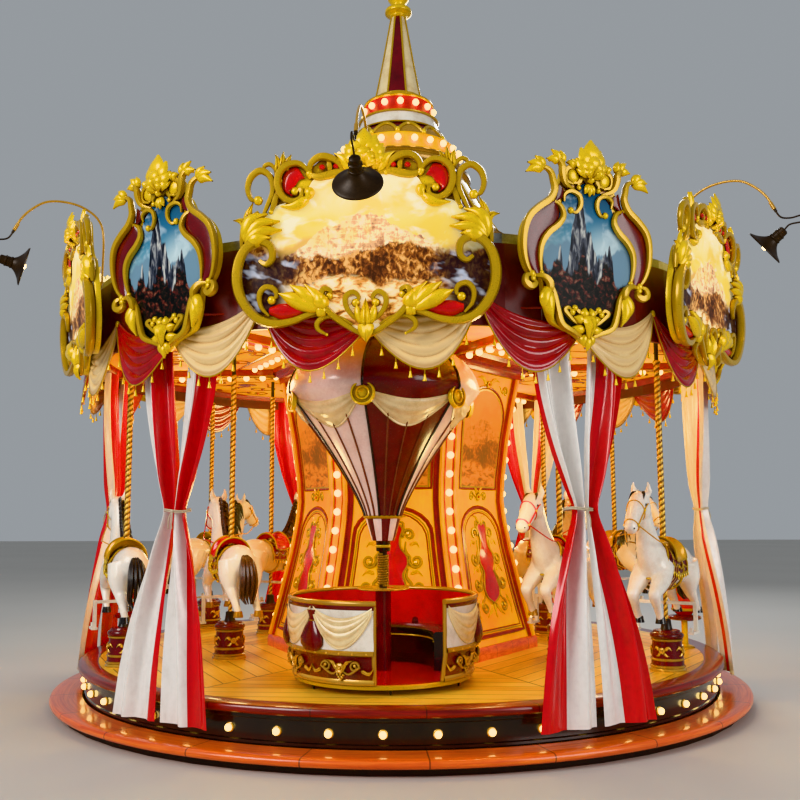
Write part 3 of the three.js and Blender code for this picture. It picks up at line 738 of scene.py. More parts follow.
class Shell:
    """Faces gathered into one mesh, with a paint number on each."""

    def __init__(self) -> None:
        """Starts empty."""
        self.verts: list[Vector] = []
        self.faces: list[tuple[int, ...]] = []
        self.paint: list[int] = []

    def add(self, verts: Iterable[Point], faces: Iterable[Sequence[int]], paint: int = 0) -> "Shell":
        """Adds loose geometry and returns itself."""
        base = len(self.verts)
        self.verts += [Vector(v) for v in verts]
        for f in faces:
            self.faces.append(tuple(base + i for i in f))
            self.paint.append(paint)
        return self

    def merge(self, other: "Shell", place: Matrix | None = None, paint: int | None = None) -> "Shell":
        """Adds another shell, moved by a matrix.

        Args:
            other: the shell to copy in.
            place: where it goes.
            paint: a paint number that replaces its own.

        Returns:
            Itself.
        """
        base = len(self.verts)
        m = place or Matrix.Identity(4)
        flip = m.to_3x3().determinant() < 0
        self.verts += [m @ v for v in other.verts]
        for f, p in zip(other.faces, other.paint):
            face = tuple(base + i for i in f)
            self.faces.append(face[::-1] if flip else face)
            self.paint.append(p if paint is None else paint)
        return self

    def grid(self, rows: Sequence[Sequence[Point]], paint: int = 0, round_rows: bool = False,
             round_cols: bool = False) -> "Shell":
        """A net of quads over rows of points.

        Args:
            rows: equal rows of points.
            paint: the paint number.
            round_rows: whether the last row joins the first.
            round_cols: whether each row is a ring.

        Returns:
            Itself.
        """
        h, w = len(rows), len(rows[0])
        faces = []
        for i in range(h if round_rows else h - 1):
            for j in range(w if round_cols else w - 1):
                a, b = i * w + j, i * w + (j + 1) % w
                c, d = ((i + 1) % h) * w + (j + 1) % w, ((i + 1) % h) * w + j
                faces.append((a, b, c, d))
        return self.add([p for r in rows for p in r], faces, paint)

    def lathe(self, profile: Sequence[tuple[float, float]], sides: int = 64, paint: int = 0,
              span: tuple[float, float] = (0.0, 360.0), round_profile: bool = False) -> "Shell":
        """A profile of (radius, height) turned about Z, from the front to the right."""
        full = abs(span[1] - span[0]) >= 360
        count = sides if full else sides + 1
        rows = [[polar(r, span[0] + (span[1] - span[0]) * i / sides, z) for r, z in profile]
                for i in range(count)]
        return self.grid(rows, paint, full, round_profile)

    def tube(self, line: Sequence[Point], radius: float | Sequence[float], sides: int = 8, paint: int = 0,
             closed: bool = False, flat: float = 1.0, side: Point = (0, -1, 0),
             groove: float = 0.0) -> "Shell":
        """A tube along a line.

        Args:
            line: the points that it follows.
            radius: its radius, or radii spread along it.
            sides: sides of its section.
            paint: the paint number.
            closed: whether its end joins its start.
            flat: its thickness towards side, as a share of its width.
            side: the direction that its flat faces look in.
            groove: how deep the line along its face is cut, as a share.

        Returns:
            Itself.
        """
        p = [Vector(q) for q in line]
        n = len(p)
        section = [(math.cos(TURN * k / sides), math.sin(TURN * k / sides)) for k in range(sides)]
        section = [(x, y * flat * (1 - groove * (abs(x) < 0.1 < y))) for x, y in section]
        radii = radius if isinstance(radius, Sequence) else [radius, radius]
        look = Vector(side).normalized()
        rows = []
        for i, q in enumerate(p):
            near = (i - 1, (i + 1) % n) if closed else (max(i - 1, 0), min(i + 1, n - 1))
            ahead = (p[near[1]] - p[near[0]]).normalized()
            across = ahead.cross(look)
            if across.length < 1e-4:
                across = ahead.orthogonal()
            across.normalize()
            up = across.cross(ahead).normalized()
            r = along(radii, i / max(1, n - 1))
            rows.append([q + across * (r * x) + up * (r * y) for x, y in section])
        self.grid(rows, paint, closed, True)
        if not closed:
            last = len(self.verts) - sides
            first = len(self.verts) - sides * n
            self.faces += [tuple(range(first + sides - 1, first - 1, -1)), tuple(range(last, last + sides))]
            self.paint += [paint, paint]
        return self

    def ball(self, centre: Point, size: float | Point, sides: int = 12, paint: int = 0) -> "Shell":
        """A ball or an egg with its axis along Z."""
        sx, sy, sz = size if isinstance(size, Sequence) else (size, size, size)
        c = Vector(centre)
        half = max(4, sides // 2)
        rows = []
        for i in range(1, half):
            a = math.pi * i / half
            rows.append([c + Vector((sx * math.sin(a) * math.cos(TURN * k / sides),
                                     sy * math.sin(a) * math.sin(TURN * k / sides), -sz * math.cos(a)))
                         for k in range(sides)])
        base = len(self.verts)
        self.grid(rows, paint, False, True)
        bottom, top = len(self.verts), len(self.verts) + 1
        self.verts += [c - Vector((0, 0, sz)), c + Vector((0, 0, sz))]
        last = base + (half - 2) * sides
        for k in range(sides):
            self.faces += [(bottom, base + (k + 1) % sides, base + k),
                           (top, last + k, last + (k + 1) % sides)]
            self.paint += [paint, paint]
        return self

    def block(self, low: Point, high: Point, paint: int = 0) -> "Shell":
        """A box between two corners."""
        (a, b, c), (d, e, f) = low, high
        v = [(a, b, c), (d, b, c), (d, e, c), (a, e, c), (a, b, f), (d, b, f), (d, e, f), (a, e, f)]
        faces = [(3, 2, 1, 0), (4, 5, 6, 7), (0, 1, 5, 4), (1, 2, 6, 5), (2, 3, 7, 6), (3, 0, 4, 7)]
        return self.add(v, faces, paint)

    def slab(self, outline: Sequence[Point], depth: float, paint: int = 0, bevel: float = 0.0,
             crown: float = 0.0) -> "Shell":
        """A plate with a flat outline in the XZ plane, its face towards -Y.

        Args:
            outline: its edge, as (x, z) points.
            depth: its thickness.
            paint: the paint number.
            bevel: how far the face's edge is drawn in.
            crown: how far the face's middle stands proud.

        Returns:
            Itself.
        """
        n = len(outline)
        mid = Vector((sum(p[0] for p in outline) / n, sum(p[1] for p in outline) / n))
        if sum(outline[i - 1][0] * outline[i][1] - outline[i][0] * outline[i - 1][1] for i in range(n)) < 0:
            outline = list(reversed(outline))
        span = max((Vector(p) - mid).length for p in outline)
        rings = [(1.0, 0.0), (1.0, depth - bevel), (1 - bevel / span, depth)]
        for k in (0.75, 0.5, 0.25):
            rings.append((k, depth + crown * (1 - k * k)))
        rows = [[(mid.x + (p[0] - mid.x) * s, -d, mid.y + (p[1] - mid.y) * s) for p in outline]
                for s, d in rings]
        base = len(self.verts)
        self.grid(rows, paint, False, True)
        self.verts.append(Vector((mid.x, -depth - crown, mid.y)))
        top, last = len(self.verts) - 1, base + (len(rings) - 1) * n
        for k in range(n):
            self.faces.append((last + k, last + (k + 1) % n, top))
            self.paint.append(paint)
        self.faces.append(tuple(range(base + n - 1, base - 1, -1)))
        self.paint.append(paint)
        return self

    def build(self, name: str, paints: Sequence[bpy.types.Material], angle: float = 40.0,
              body: str = "turntable", slot: str = "") -> bpy.types.Object:
        """Makes the Blender object and sets it riding.

        Args:
            name: the piece's name.
            paints: materials by paint number.
            angle: edges sharper than this stay hard.
            body: the CAD body that it moves with.
            slot: the record's material slot; not used.

        Returns:
            The object.
        """
        mesh = bpy.data.meshes.new(name)
        mesh.from_pydata([tuple(v) for v in self.verts], [], self.faces)
        mesh.polygons.foreach_set("material_index", self.paint)
        mesh.polygons.foreach_set("use_smooth", [True] * len(self.faces))
        for m in paints:
            mesh.materials.append(m)
        mesh.update()
        mesh.set_sharp_from_angle(angle=math.radians(angle))
        piece = bpy.data.objects.new(name, mesh)
        bpy.context.scene.collection.objects.link(piece)
        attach(piece, body)
        LOG.info("%s: %d faces", name, len(self.faces))
        return piece


def bead(radius: float, out: float, z: float, half: float, flat: float) -> list[tuple[float, float]]:
    """The profile of a raised ring at height z, with half its foot's and half its top's width."""
    return [(radius, z - half), (radius + out, z - flat), (radius + out, z + flat), (radius, z + half)]


def twin(first: bpy.types.Object, name: str, body: str) -> bpy.types.Object:
    """Another piece with the first one's mesh.

    Args:
        first: the piece that is copied.
        name: the new piece's name.
        body: the CAD body that it moves with.

    Returns:
        The object.
    """
    piece = bpy.data.objects.new(name, first.data)
    bpy.context.scene.collection.objects.link(piece)
    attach(piece, body)
    LOG.info("%s: shares its shape with %s", name, first.name)
    return piece


def bulb_row(places: Sequence[Vector], radius: float, hanging: bool = False) -> Shell:
    """Lit lamps with a gold cup for each, whose paint numbers are 0 and 1.

    Args:
        places: the middles of the lamps.
        radius: one lamp's radius.
        hanging: whether the cups are above the lamps, and not towards the axis.

    Returns:
        The shell.
    """
    s = Shell()
    for p in places:
        back = Vector((0, 0, 1)) if hanging else Vector((-p.x, -p.y, 0)).normalized()
        s.ball(p, radius, 10, 0)
        s.ball(p + back * (radius * 0.7), radius * 0.86, 8, 1)
    return s


def leaf(line: Sequence[Point], width: float, lift: float, lobes: float = 5.0, depth: float = 0.3,
         paint: int = 0, tip: float = 0.0, swell: float = 0.6, vein: float = 0.34) -> Shell:
    """A carved leaf along a line, facing -Y, with lobed edges and a sunk midrib.

    Args:
        line: its midrib, from its root to its tip.
        width: half its width at the widest place.
        lift: how far it stands proud.
        lobes: how many lobes each edge has.
        depth: how deep the lobes are cut, as a share.
        paint: the paint number.
        tip: the width that is left at the tip, as a share.
        swell: where along it the leaf is widest, under 1 for nearer the root.
        vein: how deep the midrib is sunk, as a share.

    Returns:
        The shell.
    """
    p = [Vector(q) for q in line]
    n = len(p)
    across_at = [-1.0, -0.78, -0.36, 0.0, 0.36, 0.78, 1.0]
    rise = [0.0, 0.6, 0.94, 1 - vein, 0.94, 0.6, 0.0]
    look = Vector((0, -1, 0))
    rows = []
    for i, q in enumerate(p):
        t = i / (n - 1)
        ahead = (p[min(i + 1, n - 1)] - p[max(i - 1, 0)]).normalized()
        across = ahead.cross(look).normalized()
        body = math.sin(math.pi * min(1.0, 0.12 + 0.88 * t) ** swell) if 0 < t < 1 else tip
        body = max(tip, body)
        wave = 1 - depth * abs(math.cos(math.pi * lobes * t)) if lobes else 1.0
        w = width * body * wave
        h = lift * (0.35 + 0.65 * body)
        rows.append([q + across * (w * u) + look * (h * r) for u, r in zip(across_at, rise)]
                    + [q - look * (h * 0.35)])
    return Shell().grid(rows, paint, False, True)


def curl(centre: Point, start: float, turns: float, radii: tuple[float, float], thick: float,
         paint: int = 0, flat: float = 1.1, lead: Sequence[Point] = ()) -> Shell:
    """A volute that ends in a round eye.

    Args:
        centre: the middle of the volute.
        start: the angle where it begins.
        turns: how far it winds.
        radii: its first and last radius.
        thick: the radius of its stem.
        paint: the paint number.
        flat: how deep the stem is, as a share of its width.
        lead: points of a stem that runs into it.

    Returns:
        The shell.
    """
    steps = max(8, int(abs(turns) * 16))
    line = spiral(centre, start, turns, radii, steps)
    if lead:
        line = smooth_line([*lead, line[0]], 5)[:-1] + line
    s = Shell().tube(line, [thick * 0.45, thick, thick * 1.05, thick * 0.9, thick * 0.55], 6, paint,
                     flat=flat)
    eye = thick * 1.5
    s.ball(line[-1], (eye, eye * 0.9, eye), 8, paint)
    return s


def rosette(centre: Point, radius: float, lift: float, petals: int = 8, paint: int = 0,
            heart: int = 0) -> Shell:
    """A round flower facing -Y, with a raised rim, petals and a heart."""
    c = Vector(centre)
    s = Shell()
    rows = []
    for r, h in [(1.0, 0.0), (1.02, 0.35), (0.95, 0.6), (0.86, 0.45), (0.6, 0.6), (0.36, 0.4), (0.0, 0.5)]:
        row = []
        for k in range(petals * 3):
            a = TURN * k / (petals * 3)
            lobe = 1 + 0.12 * math.cos(petals * a) if 0.3 < r < 0.97 else 1.0
            row.append(c + Vector((radius * r * lobe * math.cos(a), -lift * h,
                                   radius * r * lobe * math.sin(a))))
        rows.append(row)
    s.grid(rows, paint, False, True)
    s.ball(c + Vector((0, -lift * 0.5, 0)), (radius * 0.3, lift * 0.5, radius * 0.3), 12, heart)
    return s


def medal(centre: Point, radius: float, lift: float, paint: int = 0) -> Shell:
    """A round boss of rings within rings, facing -Y."""
    c = Vector(centre)
    rings = [(1.0, 0.0), (1.0, 0.5), (0.93, 0.72), (0.82, 0.7), (0.76, 0.4), (0.62, 0.4), (0.56, 0.72),
             (0.46, 0.8), (0.38, 0.5), (0.2, 0.6), (0.0, 0.66)]
    rows = [[c + Vector((radius * r * math.cos(TURN * k / 24), -lift * h,
                         radius * r * math.sin(TURN * k / 24))) for k in range(24)] for r, h in rings]
    return Shell().grid(rows, paint, False, True)


def mirrored(half: Shell) -> Shell:
    """A shell and its mirror image across the YZ plane."""
    return Shell().merge(half).merge(half, MIRROR)


def repaint(node: str, material: bpy.types.Material) -> None:
    """Gives a CAD piece a finish of its own."""
    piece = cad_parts[node]
    for s in piece.material_slots:
        s.material = material
    if not piece.material_slots:
        piece.data.materials.append(material)


@dataclass
class Step:
    """The fixed varnished step round the deck, on its dark foot ring."""

    outer: float = 2.83
    inner: float = 2.592
    top: float = 0.1
    foot: float = 0.05

    def build(self, paints: Paints) -> None:
        """Makes the step and paints the ring under it."""
        nose = [(self.inner, self.foot), (self.outer - 0.02, self.foot),
                (self.outer - 0.006, self.foot + 0.006), (self.outer, self.foot + 0.018),
                (self.outer, self.top - 0.02), (self.outer - 0.006, self.top - 0.006),
                (self.outer - 0.02, self.top), (self.outer - 0.09, self.top), (self.inner, self.top)]
        s = Shell().lathe(nose, 192, 0, round_profile=True)
        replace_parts(s.build("polished_step", [paints.wood], 50, "base", "mahogany_gloss"), "step_ring")
        repaint("base_frame", paints.dark)


@dataclass
class Deck:
    """The turning deck: bulb-lit riser, varnished border and mitred boards."""

    border_in: float = 2.481
    outer: float = 2.631
    under: float = 0.285
    riser_r: float = 2.57
    riser_foot: float = 0.07
    bulbs: int = 50
    bulb_z: float = 0.186

    def build(self, paints: Paints) -> None:
        """Makes the riser with its lamps, the border and the boards."""
        repaint("turntable_frame", paints.iron)
        r = self.riser_r
        skirt = [(r - 0.025, self.riser_foot), (r, self.riser_foot), (r, 0.1), (r + 0.008, 0.106),
                 (r + 0.008, 0.122), (r, 0.128), (r, 0.25), (r + 0.01, 0.256), (r + 0.012, self.under),
                 (r - 0.025, self.under)]
        s = Shell().lathe(skirt, 192, 0, round_profile=True)
        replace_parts(s.build("riser_panels", [paints.black], 40, slot="black_enamel"), "riser_skirt")
        rows = [[Vector((rad * math.cos(TURN * k / 14), -(r + out),
                         self.bulb_z + rad * math.sin(TURN * k / 14))) for k in range(14)]
                for rad, out in [(0.029, -0.002), (0.029, 0.005), (0.024, 0.009), (0.0, 0.009)]]
        cup, lamps = Shell().grid(rows, 1, False, True), Shell()
        for i in range(self.bulbs):
            a = (i + 0.26) * 360 / self.bulbs
            lamps.merge(cup, facing(a))
            lamps.ball(polar(r + 0.018, a, self.bulb_z), 0.0225, 12, 0)
        lamps.build("riser_lamps", [paints.bulb, paints.brass], 40, slot="black_enamel")
        edge = [(self.border_in, self.under), (self.outer - 0.014, self.under),
                (self.outer - 0.003, self.under + 0.008), (self.outer, self.under + 0.022),
                (self.outer - 0.003, DECK_TOP - 0.008), (self.outer - 0.014, DECK_TOP),
                (self.border_in, DECK_TOP)]
        s = Shell().lathe(edge, 192, 0, round_profile=True)
        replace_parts(s.build("deck_nosing", [paints.wood_dark], 50, slot="mahogany_gloss"), "deck_border")
        floor = [(0.92, self.under), (self.border_in - 0.001, self.under),
                 (self.border_in - 0.001, DECK_TOP), (self.border_in - 0.004, DECK_TOP), (0.92, DECK_TOP)]
        s = Shell().lathe(floor, 96, 0, round_profile=True)
        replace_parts(s.build("deck_floor", [paints.boards], 50, slot="deck_planks"), "deck_with_drums")


@dataclass
class Drums:
    """The turned drums that the horses' poles drop into."""

    radius: float = 0.118

    def _one(self) -> Shell:
        """One drum, standing on the origin."""
        r, z = self.radius, DECK_TOP
        body = [(0.0, z), (r + 0.012, z), (r + 0.014, z + 0.012), (r + 0.004, z + 0.022), (r, z + 0.03)]
        belly = [(r, z + 0.03), (r - 0.004, z + 0.09), (r - 0.01, z + 0.16), (r - 0.014, z + 0.226)]
        s = Shell().lathe(body, 28, 1).lathe(belly, 28, 0)
        for height, out in [(0.036, r + 0.001), (0.085, r - 0.004), (0.222, r - 0.012)]:
            s.lathe(bead(out, 0.008, z + height, 0.009, 0.004), 28, 1)
        rim = z + 0.24
        s.lathe([(r - 0.014, z + 0.226), (r, rim), (r + 0.002, rim + 0.014), (r - 0.006, rim + 0.028),
                 (0.098, rim + 0.034), (0.092, rim + 0.046), (0.044, rim + 0.052)], 28, 0)
        s.lathe([(0.046, rim + 0.05), (0.04, rim + 0.062), (0.034, rim + 0.1), (0.034, rim + 0.118),
                 (0.028, rim + 0.124), (0.0165, rim + 0.125)], 20, 2)
        for k in range(4):
            flower = rosette((0, -(r - 0.006), z + 0.15), 0.022, 0.014, 5)
            for side in (-1, 1):
                for width, lift, places in (
                        (0.011, 0.008, ((0.018, 0.006, 0.15), (0.044, 0.016, 0.172), (0.064, 0.03, 0.15))),
                        (0.009, 0.007, ((0.012, 0.005, 0.138), (0.03, 0.01, 0.115), (0.05, 0.018, 0.112)))):
                    line = smooth_line([(side * x, back - r, z + up) for x, back, up in places], 3)
                    flower.merge(leaf(line, width, lift, 0))
            s.merge(flower, facing(k * 90), 1)
        return s

    def build(self, paints: Paints) -> None:
        """Makes all ten in one piece."""
        one = self._one()
        s = Shell()
        for radius in HORSE_ROWS.values():
            for a in HORSE_ANGLES:
                s.merge(one, Matrix.Translation(polar(radius, a)) @ facing(a))
        s.build("pole_drums", [paints.maroon, paints.brass, paints.dark], 40, slot="maroon_lacquer")


@dataclass
class Tower:
    """The six-sided hourglass tower with its panels, corner lamps and mouldings."""

    plinth_z: tuple[float, float] = (DECK_TOP, 0.436)
    levels: tuple[tuple[float, float], ...] = (
        (0.436, 1.14), (0.75, 1.055), (1.15, 0.957), (1.42, 0.905), (1.574, 0.889), (1.75, 0.899),
        (2.1, 0.944), (2.4, 1.0), (2.62, 1.048))
    strip_half: float = 0.08
    body_z: tuple[float, float] = (0.437, 2.619)
    lamp_z: tuple[float, float] = (0.52, 2.56)
    lamp_gap: float = 0.148
    picture_z: float = 2.12

    def corner(self, z: float) -> float:
        """The radius at the corners, at a height."""
        for (z0, r0), (z1, r1) in zip(self.levels, self.levels[1:]):
            if z <= z1:
                return r0 + (r1 - r0) * (z - z0) / (z1 - z0)
        return self.levels[-1][1]

    def on_face(self, x: float, z: float, out: float = 0.0) -> Vector:
        """A point on the front side, x along it, out from it."""
        return Vector((x, -(self.corner(z) * math.cos(math.pi / 6) + out), z))

    def half(self, z: float) -> float:
        """Half the width of the open panel at a height."""
        return self.corner(z) / 2 - self.strip_half - 0.022

    def _lift(self, flat: Shell, out: float) -> Shell:
        """Lays a flat carving, drawn in the XZ plane, on the front side."""
        s = Shell()
        s.verts = [self.on_face(v.x, v.z, out - v.y) for v in flat.verts]
        s.faces, s.paint = flat.faces, flat.paint
        return s

    def _arch(self, low: float, high: float, inset: float, crown: float) -> list[Vector]:
        """The outline of an arched field, from its left foot over to its right foot."""
        left = [Vector((-(self.half(z) - inset), 0, z)) for z in np.linspace(low, high - crown, 8)]
        w = self.half(high - crown) - inset
        turns = [math.pi * k / 12 for k in range(1, 12)]
        arc = [Vector((-w * math.cos(a), 0, high - crown + crown * math.sin(a))) for a in turns]
        return left + arc + [Vector((-v.x, 0, v.z)) for v in reversed(left)]

    def _field(self, outline: Sequence[Vector], paint: int, out: float) -> Shell:
        """A filled field with the given outline, cut across in rows."""
        n = len(outline) // 2
        rows = []
        for i in range(n):
            a, b = outline[i], outline[-1 - i]
            rows.append([self.on_face(a.x + (b.x - a.x) * k / 6, a.z, out) for k in range(7)])
        top = outline[n]
        rows.append([self.on_face(0, top.z, out)] * 7)
        return Shell().grid(rows, paint)

    def _lower(self) -> Shell:
        """The carved lower panel of one side."""
        flat = Shell()
        for inset, size, paint in [(0.034, 0.016, 2), (0.062, 0.006, 1), (0.078, 0.006, 2)]:
            line = self._arch(0.47 + inset, 1.55 - inset, inset + 0.02, 0.22)
            flat.tube([*line, *[line[-1].lerp(line[0], k / 8) for k in range(1, 8)]], size, 6, paint, True,
                      0.6)
        heart = smooth_line([(0, 1.37), (0.042, 1.385), (0.075, 1.345), (0.052, 1.27), (0.062, 1.2),
                             (0.11, 1.14), (0.118, 1.07), (0.082, 1.0), (0.1, 0.93), (0.122, 0.86),
                             (0.09, 0.79), (0.0, 0.745)], 3)
        edge = [(p.x, p.y) for p in (Vector(q) for q in heart)]
        outline = edge + [(-x, z) for x, z in reversed(edge[1:-1])]
        flat.slab(outline, 0.01, 3, 0.006, 0.01)
        flat.tube([(x, -0.01, z) for x, z in outline], 0.007, 6, 1, True)
        half = Shell()
        half.merge(curl((0.125, 0, 1.3), 200, -1.2, (0.05, 0.014), 0.012, 1,
                        lead=[(0.03, 0, 1.4), (0.08, 0, 1.39)]))
        half.merge(curl((0.185, 0, 1.1), 150, 1.25, (0.058, 0.014), 0.013, 1,
                        lead=[(0.1, 0, 1.25), (0.1, 0, 1.18)]))
        half.merge(curl((0.2, 0, 0.9), 150, 1.25, (0.06, 0.014), 0.013, 1,
                        lead=[(0.12, 0, 1.04), (0.11, 0, 0.98)]))
        half.merge(curl((0.15, 0, 0.72), 90, -1.2, (0.055, 0.012), 0.012, 1, lead=[(0.11, 0, 0.82)]))
        for pts, wide in [([(0.02, 0, 1.37), (0.05, 0, 1.43), (0.11, 0, 1.45)], 0.02),
                          ([(0.13, 0, 1.22), (0.18, 0, 1.24), (0.21, 0, 1.2)], 0.018),
                          ([(0.14, 0, 1.0), (0.2, 0, 1.02), (0.24, 0, 0.98)], 0.018),
                          ([(0.03, 0, 0.74), (0.08, 0, 0.68), (0.15, 0, 0.64)], 0.022),
                          ([(0.22, 0, 0.8), (0.27, 0, 0.72), (0.26, 0, 0.64)], 0.02)]:
            half.merge(leaf(smooth_line(pts, 4), wide, 0.012, 3, paint=1))
        flat.merge(mirrored(half))
        flat.merge(leaf(smooth_line([(0, 0, 0.76), (0, 0, 0.7), (0, 0, 0.63)], 4), 0.024, 0.012, 3, paint=1))
        return flat

    def _upper(self) -> tuple[Shell, Shell]:
        """The frame of the upper panel and the picture inside it."""
        flat = Shell()
        for inset, size, paint in [(0.03, 0.012, 2), (0.054, 0.011, 1)]:
            line = self._arch(1.65 + inset * 0.6, 2.54 - inset, inset + 0.012, 0.25)
            flat.tube([*line, *[line[-1].lerp(line[0], k / 8) for k in range(1, 8)]], size, 6, paint, True,
                      0.7)
        half = Shell()
        half.merge(curl((0.31, 0, 2.5), 200, -1.1, (0.045, 0.012), 0.011, 1, lead=[(0.2, 0, 2.54)]))
        half.merge(curl((0.1, 0, 1.605), 100, -1.1, (0.034, 0.01), 0.01, 1, lead=[(0.02, 0, 1.59)]))
        half.merge(leaf(smooth_line([(0.03, 0, 2.53), (0.1, 0, 2.58), (0.2, 0, 2.57)], 4), 0.024, 0.014, 4,
                        paint=1))
        half.merge(leaf(smooth_line([(0.01, 0, 1.62), (0.04, 0, 1.665), (0.09, 0, 1.68)], 4), 0.02, 0.014, 3,
                        paint=1))
        flat.merge(mirrored(half))
        flat.merge(rosette((0, -0.004, 2.53), 0.03, 0.02, 7, 1, 3))
        flat.merge(rosette((0, -0.004, 1.6), 0.03, 0.02, 6, 1, 3))
        return flat, self._field(self._arch(1.67, 2.48, 0.066, 0.23), 0, 0.006)

    def _pictures(self, picture: Shell, paints: Paints) -> None:
        """Sets the six pictures, each in its own frame so that its painting is centred."""
        picture.verts = [v - Vector((0, 0, self.picture_z)) for v in picture.verts]
        pieces = [picture.build("tower_picture_1", [paints.tower_picture], 35, slot="orange_panel")]
        pieces += [twin(pieces[0], f"tower_picture_{k}", "turntable")
                   for k in range(2, SECTORS + 1)]
        for k, piece in enumerate(pieces):
            piece.matrix_world = facing(k * SECTOR) @ Matrix.Translation((0, 0, self.picture_z))

    def _corner_strip(self) -> Shell:
        """The lamp strip on the corner at 30 degrees, built at the front."""
        w, s = self.strip_half, Shell()
        heights = list(np.linspace(0.44, 2.619, 26))
        edges = [(-w, -0.075), (-w, -0.012), (-w + 0.018, -0.004), (-w + 0.024, -0.016), (w - 0.024, -0.016),
                 (w - 0.018, -0.004), (w, -0.012), (w, -0.075)]
        rows = [[Vector((x, -(self.corner(z) + out), z)) for x, out in edges] for z in heights]
        s.grid(rows, 5)
        for side in (-1, 1):
            s.tube([(side * (w - 0.01), -(self.corner(z) - 0.01), z) for z in heights], 0.019, 6, 4)
            s.tube([(side * (w - 0.032), -(self.corner(z) - 0.012), z) for z in heights], 0.005, 6, 1)
        return s

    def lamp_places(self) -> list[Vector]:
        """The corner lamps of one strip, built at the front."""
        low, high = self.lamp_z
        heights = [low + (i + 0.5) * self.lamp_gap for i in range(int((high - low) / self.lamp_gap))]
        return [Vector((0, -(self.corner(z) - 0.002), z)) for z in heights]

    def build(self, paints: Paints) -> None:
        """Makes the plinth, the body with its carving, the lamps and the cornice."""
        z0, z1 = self.plinth_z
        plinth = [(0.9, z0), (1.165, z0), (1.165, z1 - 0.03), (1.155, z1 - 0.012), (1.146, z1), (0.9, z1)]
        s = Shell().lathe(plinth, SECTORS, 0, (HALF_SECTOR, HALF_SECTOR + 360))
        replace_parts(s.build("tower_plinth_boards", [paints.wood], 30, slot="mahogany_gloss"), "tower_plinth")
        body = Shell()
        heights = list(np.linspace(*self.body_z, 30))
        face = Shell().grid([[self.on_face(self.corner(z) / 2 * k / 6, z) for k in range(-6, 7)]
                             for z in heights], 0)
        lower, (upper, picture) = self._lower(), self._upper()
        face.merge(self._lift(lower, 0.0)).merge(self._lift(upper, 0.0))
        self._pictures(picture, paints)
        for side in (-1, 1):
            face.grid([[self.on_face(side * (self.half(z) + k), z, 0.007)
                        for k in (0.024, 0.02, -0.024, -0.028)] for z in heights], 2)
        strip = self._corner_strip()
        for k in range(SECTORS):
            body.merge(face, facing(k * SECTOR)).merge(strip, facing(k * SECTOR + HALF_SECTOR))
        mats = [paints.orange, paints.gold, paints.beam, paints.crimson, paints.glow, paints.strip]
        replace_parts(body.build("tower_panels", mats, 35, slot="orange_panel"), "tower_housing")
        lamps = Shell()
        row = bulb_row(self.lamp_places(), 0.029)
        for k in range(SECTORS):
            lamps.merge(row, facing(k * SECTOR + HALF_SECTOR))
        lamps.build("tower_lamps", [paints.bulb, paints.brass], 40, slot="orange_panel")
        cap = [(0.85, 2.621), (1.075, 2.621), (1.085, 2.64), (1.09, 2.67), (1.13, 2.7), (1.165, 2.715),
               (1.18, 2.7495), (0.85, 2.7495)]
        s = Shell().lathe(cap, SECTORS, 0, (HALF_SECTOR, HALF_SECTOR + 360))
        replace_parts(s.build("tower_cap_moulding", [paints.beam], 30, slot="mahogany_gloss"), "tower_cornice")


